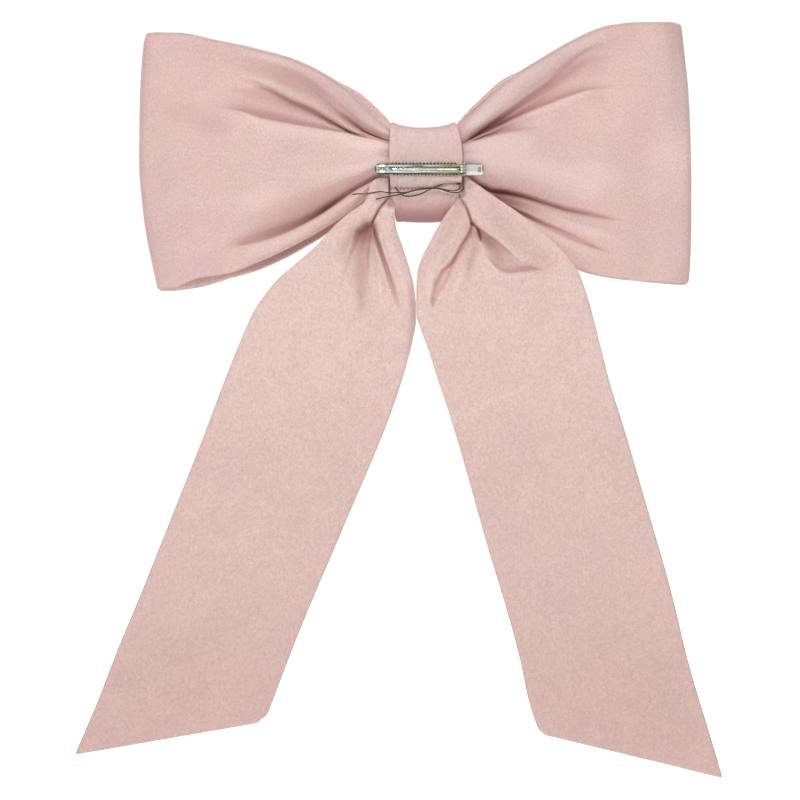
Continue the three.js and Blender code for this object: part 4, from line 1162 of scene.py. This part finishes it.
def tail(side, spec, rows, columns):
    """One tail of doubled cloth; returns its back and front layers."""
    t = np.linspace(0, 1, rows) ** 1.25     # closer near the knot
    t = np.concatenate([t[:-1], 1 - np.array([1.4, 0.9, 0.5, 0.2, 0.06, 0.0]) / 260])
    t = np.unique(np.round(t, 6))[:, None]
    W = edge_rows(60, columns, fine=(0, 0.06, 0.2, 0.45, 0.8, 1.2, 1.7))[None]
    X, Z, width = tail_outline(spec, t, W)
    D = tail_relief(spec, X, Z)
    drop = np.clip((-51 - Z) / 219.0, 0, 1)
    Y = 1.5 + 1.6 * drop * drop
    for shift, lost, x_range, z_ranges in spec["shifts"]:
        part = ease(*x_range, X)
        for z_range in z_ranges:
            part = part * ease(*z_range, Z)
        Y = Y + shift * part
        D = D * (1 - lost * part)
    M = spread(grid(X, Y - D, Z), 2.0)
    edge_distance = np.minimum(np.minimum(W, 1 - W) * width, (1 - t) * TAIL_LENGTH)
    half = puff(edge_distance) * np.clip(0.35 + width / 14, 0, 1)
    thick = grid(0.0, -half, 0.0)
    core = thick * (0.05 / CLOTH_HALF)      # the layers' hidden faces almost touch
    fab = grid(X, Z, 0.0)
    # painted highlight on ridges, painted shade in creases, painted pale highlight along the edges
    folds = (D - blur(D, 10)) * 0.9 + (D - blur(D, 120)) * 0.28
    rim = 0.6 * np.exp(-edge_distance / 0.8)
    # a little lighter above z = -90 to -140, darker from z = -170 down; then painted shade along
    # the listed lines
    tone = 0.05 * ease(-140, -90, Z) - 0.07 * ease(-170, -240, Z)
    for reach, points in spec["painted_shade"]:
        tone = tone + shade(X, Z, points, reach, reach)
    back = sheet(f"{side}_tail_back_velvet", M + thick, M + core, False, fab,
                 np.clip(np.clip(folds, -1, 0.6) + rim, -1, 1), np.clip(tone, -2.0, 0.3))
    # the front layer has half the rows, but all of them at the rounded end
    kept = np.unique(np.concatenate([np.arange(0, len(t), 2), np.arange(len(t) - 7, len(t))]))
    front = sheet(f"{side}_tail_front_velvet", (M - thick)[kept], (M - core)[kept], False,
                  fab[kept], np.clip(-folds * 0.8 + rim, -1, 1)[kept])
    return back, front


for side, spec in (("left", LEFT_TAIL), ("right", RIGHT_TAIL)):
    layers = tail(side, spec, *(((330, 104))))
    for ob, layer in zip(layers, ("back", "front")):
        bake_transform(ob)
        label(ob, "velvet_tails", f"{side}_tail_{layer}_layer")


def gather(name, y_start, y_end, phase):
    """A layer of the tail strip's gathered middle, inside the band, in four ripples."""
    z = np.linspace(-17.8, -4.2, 70)
    X, Z = np.meshgrid(np.linspace(-17.6, 14.6, 60), z, indexing="ij")
    ripples = (Z - z[0]) / (z[-1] - z[0]) * 2 * np.pi * 4
    ripple = 0.5 + 0.5 * np.cos(ripples + 0.3 * np.sin(X / 6 + phase))
    edge_distance = np.minimum(Z - z[0], z[-1] - Z)
    half = 0.5 * (y_end - y_start) * puff(edge_distance, edge=1.6, half=1.0)
    half = half * (0.72 + 0.28 * ripple)
    middle = 0.5 * (y_start + y_end)
    # ripple crests get painted highlight and hollows painted shade
    return sheet(name, grid(X, middle - half, Z), grid(X, middle + half, Z), False,
                 grid(X, Z * 3, 0.0), (ripple - 0.5) * 0.9)


fit(gather("tail_gather_back", 5.6, 7.8, 1), "velvet_tails", "tail_strip_back_layer")
fit(gather("tail_gather_front", 8.0, 10.2, 2), "velvet_tails", "tail_strip_front_layer")

# ------------------------------------------------------------------ band

# the band's side edges: (z, x)
BAND_LEFT = curve([
    (-24.6, -15), (-19.6, -16), (-12.6, -17.4), (-7.9, -17.9), (-3.7, -18.3), (5, -18.5),
    (12.4, -18.4), (18.1, -18.1), (22.3, -17.8)])
BAND_RIGHT = curve([
    (-24.6, 11.4), (-19.6, 12.4), (-12.2, 13.6), (-6.5, 15), (-3.7, 15.2), (5.9, 15.4),
    (12.3, 14.9), (18.1, 13.7), (22.3, 12.1)])
# the sewn-down end: (x, z)
HEM = curve([
    (-19, -7.8), (-17.4, -7.9), (-10.8, -8.1), (-3.8, -7.9), (0.8, -7.8), (4.8, -6.9),
    (9.5, -5.8), (12.8, -5.9), (16, -5.4)])


def quarter(center_y, center_z, radius, start):
    """A quarter circle in (y, z), from the start angle on."""
    angles = [start + 0.5 * math.pi * i / 5 for i in range(6)]
    return [(center_y + radius * math.cos(a), center_z + radius * math.sin(a)) for a in angles]


# the band's course in (y, z): down the back, under, up the front, over and down to the hem
BAND_COURSE = [
    (3.2, 6), (3.2, 0), (3.1, -5), (3.1, -9), (3.6, -12.8), (4.8, -16.4), (7.2, -19.5),
    (10.6, -21.6), (14.6, -22.3), (18.6, -22), (22.4, -20.6), (25.2, -17.8), (26.3, -14),
    (26.6, -10), (26.7, 0), (26.6, 10), *quarter(23.0, 18.0, 3.6, 0), (14, 21.7),
    *quarter(5.1, 18.0, 3.7, 0.5 * math.pi), (1.45, 10), (1.5, 4), (1.5, 0), (1.5, -4),
    (1.5, -8)]


def band(rows, columns):
    course = catmull(BAND_COURSE, rows)
    course_y, course_z = course[:, :1], course[:, 1:]
    across = edge_rows(33, columns, fine=(0, 0.05, 0.16, 0.35, 0.65, 1.0))[None]
    left, right = BAND_LEFT(course_z), BAND_RIGHT(course_z)
    X = left * (1 - across) + right * across
    # waisted top: the middle is drawn down
    lift = 1 - np.abs(2 * across - 1) ** 2.2
    outside = ease(-1, 3, course_y)
    Z = course_z - 2.6 * lift * ease(6, 21, course_z) * outside
    Z = Z - 2.4 * lift * ease(8, 20.5, course_z) * (course_y < 6) * (1 - outside)
    Z = Z - 0.5 * lift * ease(-16, -23, course_z)
    # below z = 2 the sewn-down end comes to follow the slanting hem
    last_fifth = np.linspace(0, 1, rows)[:, None] > 0.8
    down = np.clip((2.0 - course_z) / 10.0, 0, 1) * last_fifth
    Z = np.where(down > 0, 2.0 + (HEM(X) - 2.0) * down, Z)
    s = arc_length(course)[:, None]
    length = s[-1, 0]
    flap = s > length - 30
    M = grid(X, course_y, Z)
    # soft dents: the cloth is pulled by the stitches and the clip
    above_hem = Z - HEM(X)
    D = smooth_noise(X.shape, (26, 18), 41) * 0.22
    D = D - 0.55 * bell(Z, 3.2) * flap
    D = D + 0.28 * bell(above_hem - 1.6, 1.3) * flap
    D = D - 0.20 * bell(above_hem - 3.8, 0.9) * flap
    # turned edges stand a little proud
    side = np.minimum(across, 1 - across) * (right - left)
    D = D + 0.22 * bell(side - 1.4, 1.1) - 0.18 * bell(side - 3.6, 0.7)
    M = M + normals(M) * D[..., None]
    edge_distance = np.minimum(side, np.minimum(s, length - s))
    thick = normals(M) * puff(edge_distance, edge=0.75, half=0.66)[..., None]
    # painted highlight on ridges and the turned edges, painted shade in dents
    curv = 1.6 * (D - blur(D, 10)) + 0.55 * np.exp(-edge_distance / 0.6)
    # painted shade low on the back, painted light beside the clip, painted shadow under the hem
    tone = -0.12 * ease(-9, -13, Z) - 0.46 * ease(-13, -23, Z)
    tone = tone + 0.06 * ease(-9, -4, Z) * ease(3, 0, Z)
    tone = tone + (0.20 * bell(Z + 4.6, 2.2) + 0.13 * bell(Z - 4.4, 2.0)) * ease(3, 0, course_y)
    tone = tone - 0.42 * bell(above_hem + 0.55, 0.5) * (course_y < 6) * (1 - flap)
    return sheet("centre_band_velvet", M + thick, M - thick, False, grid(X, s, 0.0),
                 np.clip(curv, -1, 1), tone * (course_y < 15))


fit(band(260, 60), "velvet_band", "centre_band")

# ------------------------------------------------------------------ threads


def thread(name, points, slot, node, radius, plies, twist, sides=10, step=0.12):
    """A thread along smoothed points, with a ring of vertices about every step mm."""
    count = int(arc_length(points)[-1] / step)
    fit(tube(name, catmull(points, count), radius, sides, plies, twist), slot, node)


# loose runs of sewing thread: name, piece, points (x, y, z)
SEWING = [
    ("sewing_thread_long", "sewing_thread_long_end", [
        (-35.6, 0, -11.4), (-32.5, -0.8, -11.2), (-29.6, -1.3, -11.3), (-26, -1.6, -10.7),
        (-22.5, -1.5, -10.3), (-19.2, -0.5, -10.6), (-15.9, 0.5, -10.6), (-10.3, 0.6, -10.3),
        (-6.5, 0.3, -9.4), (-3.5, 0.1, -8.8), (-0.8, 0, -8.5), (3.9, -0.1, -8.5),
        (8.2, 0.1, -9.4), (10.4, 0.3, -9.7), (12.3, 0.3, -9.6), (13.6, 0.1, -9),
        (14.3, 0, -8.1), (14, 0, -7.2), (13.2, 0.1, -6.7), (12.3, 0.4, -6.6)]),
    ("sewing_thread_short", "sewing_thread_short_end", [
        (-24.6, -1.7, -13.7), (-21, -1.2, -12.9), (-17.8, -0.2, -12.2), (-12.2, 0.2, -11.1),
        (-6.6, -0.3, -9.6), (-1.8, -0.55, -8.75), (1, -0.55, -8.65), (4, -0.5, -8.7),
        (8.2, -0.3, -9.95), (10.4, -0.1, -10.5), (12.3, 0, -10.6), (14.2, -0.1, -10.2),
        (15.5, -0.2, -9.2), (15.9, -0.2, -8), (15.4, -0.1, -6.9), (14.2, 0, -6.4),
        (12.9, 0.3, -6.3)]),
    ("sewing_thread_return", "sewing_thread_return_run", [
        (-15.8, 0.6, -7.9), (-15, 0.3, -9), (-14, 0.1, -10.2), (-12.9, -0.3, -11.3),
        (-11.7, -0.4, -12), (-10.3, -0.2, -12.3), (-8.9, -0.1, -12.3), (-6.8, -0.2, -12),
        (-4.6, -0.6, -11.5), (-2.4, -0.9, -10.5), (-0.3, -1, -9.4), (1.6, -0.7, -8.5),
        (3.4, -0.2, -7.7), (4.9, 0.2, -7.1), (5.9, 0.55, -6.8)]),
]
# one over-and-over hem stitch: (x from its start, y, height over the hem there)
HEM_STITCH = [(0, 0.36, 0.95), (0.34, 0.28, 0.3), (0.5, 0.9, -0.35), (0.6, 2, -0.6),
              (0.85, 2.28, -1.15), (1.15, 2, -0.6), (1.3, 0.9, -0.3), (1.45, 0.4, 0.35)]
# one slanting stitch that takes the base plate's edges down to the band: (y, z, x from its start)
BINDING_STITCH = [
    (-0.86, -1.7, 0), (-0.86, 1.7, 0.12), (-0.74, 2.35, 0.25), (-0.32, 2.86, 0.5),
    (0.1, 3.16, 0.86), (0.42, 2.95, 1.05), (0.5, 2.2, 1.15), (0.42, 1.2, 1.22),
    (0.42, -1.2, 1.34), (0.36, -2.1, 1.42), (-0.1, -2.42, 1.5), (-0.7, -2.25, 1.56)]
# one turn of gathering thread round the waist of the loops: (y, z)
WAIST_TURN = [
    (10.4, -2.6), (10.3, 6.5), (10.4, 15.6), (11.2, 17), (13.5, 17.35), (17.75, 17.4),
    (22, 17.35), (24.3, 17), (25.1, 15.6), (25.2, 6.5), (25.1, -2.6), (24.3, -4),
    (17.75, -4.35), (11.2, -4)]


def hem_points(rng):
    points = []
    for k in range(18):
        start = -17.0 + 1.78 * k
        # four draws a stitch: three move its points 0, 1 and 4, the last is spare
        wobble = dict(zip((0, 1, 4), rng.uniform(-0.14, 0.14, 4)))
        for i, (dx, y, over) in enumerate(HEM_STITCH):
            points.append((start + dx, y, HEM(start + dx) + over + wobble.get(i, 0.0)))
    return points


def binding_points(rng):
    points = []
    for k in range(19):
        start = -17.9 + 1.62 * k + rng.uniform(-0.05, 0.05)
        points += [(start + dx, y, z) for y, z, dx in BINDING_STITCH]
    return points


def waist_points(turns=3, pitch=0.9):
    n = len(WAIST_TURN)
    return [(-2.9 + pitch * k / n, *WAIST_TURN[k % n]) for k in range(turns * n + 1)]


for name, node, points in SEWING:
    thread(name, points, "thread_dark", node, radius=0.28, plies=3, twist=1.4)
rng = np.random.default_rng(7)
thread("band_hem_stitching", hem_points(rng), "thread_pink", "band_hem_stitches",
       radius=0.17, plies=2, twist=0.9, sides=8, step=0.14)
thread("clip_binding", binding_points(rng), "thread_dark", "clip_binding_thread",
       radius=0.24, plies=2, twist=1.0, sides=8, step=0.14)
thread("gathering_thread_coil", waist_points(), "thread_pale", "gathering_thread",
       radius=0.3, plies=3, twist=1.8, step=0.25)

# ------------------------------------------------------------------ clip


def rounded(node, name, slot, width, body="root"):
    """A CAD piece with its edges rounded over width mm."""
    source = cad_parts[node]
    mesh = source.data.copy()
    mesh.name = name
    ob = bpy.data.objects.new(name, mesh)
    bpy.context.scene.collection.objects.link(ob)
    ob.matrix_world = source.matrix_world.copy()
    bm = bmesh.new()
    bm.from_mesh(mesh)
    bmesh.ops.remove_doubles(bm, verts=bm.verts, dist=2e-6)
    bmesh.ops.dissolve_limit(bm, angle_limit=math.radians(1.0), verts=bm.verts, edges=bm.edges)
    bm.to_mesh(mesh)
    bm.free()
    mesh.materials.clear()
    bevel = ob.modifiers.new("round", "BEVEL")
    bevel.width = width * MM
    bevel.segments = 3
    bevel.limit_method = "ANGLE"
    bevel.angle_limit = math.radians(40)
    bevel.harden_normals = False
    bevel.use_clamp_overlap = True
    ob.modifiers.new("normals", "WEIGHTED_NORMAL").keep_sharp = True
    for polygon in mesh.polygons:
        polygon.use_smooth = True
    depsgraph = bpy.context.evaluated_depsgraph_get()
    done = bpy.data.meshes.new_from_object(ob.evaluated_get(depsgraph))
    ob.modifiers.clear()
    ob.data = done
    bm = bmesh.new()
    bm.from_mesh(done)
    bmesh.ops.triangulate(bm, faces=[f for f in bm.faces if len(f.verts) > 4])
    bm.to_mesh(done)
    bm.free()
    done.name = name
    fit(ob, slot, node, body)


rounded("clip_base_plate", "clip_base", "nickel_plate", 0.09) if False else None
for node, name, slot, width, body in (
        ("clip_base_plate", "clip_base", "nickel_plate", 0.09, "root"),
        ("clip_hinge_pin", "clip_pin", "nickel_pin", 0.08, "root"),
        ("clip_arm", "clip_lever", "nickel_arm", 0.12, "arm"),
        ("catch_bracket", "catch_base", "nickel_plate", 0.08, "root"),
        ("catch_rivet", "catch_rivet_head", "nickel_pin", 0.08, "root"),
        ("catch_jaw_upper", "catch_claw_upper", "spring_steel", 0.05, "jaw_upper"),
        ("catch_jaw_lower", "catch_claw_lower", "spring_steel", 0.05, "jaw_lower")):
    rounded(node, name, slot, width, body)


def leaf_spring():
    """A bowed leaf along the clip."""
    x = np.linspace(-17.4, 13.85, 90)[:, None]
    t = (x - x[0]) / (x[-1] - x[0])
    y = -2.1 - 1.55 * np.sin(np.pi * t) ** 0.9
    # its section: (z, half thickness)
    z, half = np.array([(-0.60, 0), (-0.58, 0.07), (-0.50, 0.1), (-0.25, 0.125), (0, 0.13),
                        (0.25, 0.125), (0.50, 0.1), (0.58, 0.07), (0.60, 0)]).T
    Z = z * (0.75 + 0.25 * ease(0, 0.06, t) * fade(0.94, 1, t))
    return sheet("clip_leaf_spring", grid(x, y - half, Z), grid(x, y + half, Z))


spring = leaf_spring()
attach(spring, "root")
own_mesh(spring)
label(spring, "spring_steel", "clip_tension_spring")

# ------------------------------------------------------------------ stage, light, camera (metres)


def stage_floor(half=6, z=-0.292):
    mesh = bpy.data.meshes.new("floor")
    corners = [(-half, -half, z), (half, -half, z), (half, half, z), (-half, half, z)]
    mesh.from_pydata(corners, [], [(0, 1, 2, 3)])
    ob = bpy.data.objects.new("floor", mesh)
    bpy.context.scene.collection.objects.link(ob)
    s = Shader(bpy.data.materials.new("floor_paper"))
    mottle = s.noise(s.node("TexCoord").outputs["Object"], scale=60.0, detail=3, rough=0.6)
    colour = s.mix(s.ramp(mottle, start=0.4, end=0.6), (0.93, 0.93, 0.93, 1),
                   (0.95, 0.95, 0.95, 1))
    # the camera sees the floor brighter than it shines on the object
    seen = s.node("LightPath").outputs["Is Camera Ray"]
    s.finish({"Base Color": colour, "Roughness": 0.9, "Specular IOR Level": 0.1,
              "Emission Color": (1, 1, 1, 1),
              "Emission Strength": s.plus(0.30, s.times(seen, 0.55))})
    mesh.materials.append(s.owner)


def area_light(name, location, size, power, colour=(1, 1, 1)):
    """A rectangular light aimed at the bow."""
    light = bpy.data.lights.new(name, "AREA")
    light.shape = "RECTANGLE"
    light.size, light.size_y = size
    light.energy = power
    light.color = colour
    ob = bpy.data.objects.new(name, light)
    ob.location = location
    aim = Vector((-0.0136, BACK_Y * MM, -0.1)) - Vector(location)
    ob.rotation_euler = aim.to_track_quat("-Z", "Y").to_euler()
    bpy.context.scene.collection.objects.link(ob)


def studio_world():
    """Dim white for diffuse light, banded by height for reflections, bright to the camera."""
    world = bpy.data.worlds.new("world")
    bpy.context.scene.world = world
    s = Shader(world, "OutputWorld")
    white = (1, 1, 1, 1)
    height = s.split(s.node("TexCoord").outputs["Generated"])[2]
    bands = s.node("ValToRGB", {0: s.ramp(height, start=-1, end=1)})
    elements = bands.color_ramp.elements
    elements[0].position, elements[0].color = 0.30, srgb(150, 150, 140)
    elements[1].position, elements[1].color = 0.72, white
    for position, colour in ((0.405, (84, 86, 62)), (0.445, (244, 244, 238)),
                             (0.555, (255, 255, 255)), (0.595, (60, 64, 50)),
                             (0.64, (232, 232, 226))):
        elements.new(position).color = srgb(*colour)

    def background(colour, strength):
        return s.node("Background", {"Color": colour, "Strength": strength}).outputs[0]

    ray = s.node("LightPath").outputs
    lit = s.node("MixShader", {0: ray["Is Glossy Ray"], 1: background(white, 0.17),
                               2: background(bands.outputs[0], 1.15)})
    seen = s.node("MixShader", {0: ray["Is Camera Ray"], 1: lit.outputs[0],
                                2: background(white, 1.05)})
    s.plug(s.output.inputs[0], seen.outputs[0])


def view():
    camera = bpy.data.cameras.new("camera")
    camera.type = "PERSP"
    camera.lens = 135
    camera.sensor_width = 36
    camera.clip_start = 0.05
    camera.clip_end = 20
    ob = bpy.data.objects.new("camera", camera)
    ob.location = (VIEW_X * MM, (BACK_Y - VIEW_DISTANCE) * MM, VIEW_Z * MM)
    ob.rotation_euler = (math.radians(90), 0, 0)
    scene = bpy.context.scene
    scene.collection.objects.link(ob)
    scene.camera = ob
    scene.view_settings.view_transform = "Standard"
    scene.view_settings.look = "None"


stage_floor()
area_light("key", (-0.30, -1.30, 0.85), size=(0.6, 0.45), power=11.3, colour=(1.0, 0.995, 0.985))
area_light("fill", (0.75, -1.40, 0.35), size=(0.9, 0.9), power=2.9, colour=(0.99, 0.99, 1.0))
area_light("top", (0.0, -0.25, 1.3), size=(0.9, 0.5), power=2.6)
area_light("show_side", (0.35, 1.35, 0.75), size=(0.8, 0.6), power=12.0,
           colour=(1.0, 0.995, 0.985))
area_light("show_fill", (-0.9, 1.1, 0.2), size=(0.8, 0.8), power=4.0)
studio_world()
view()
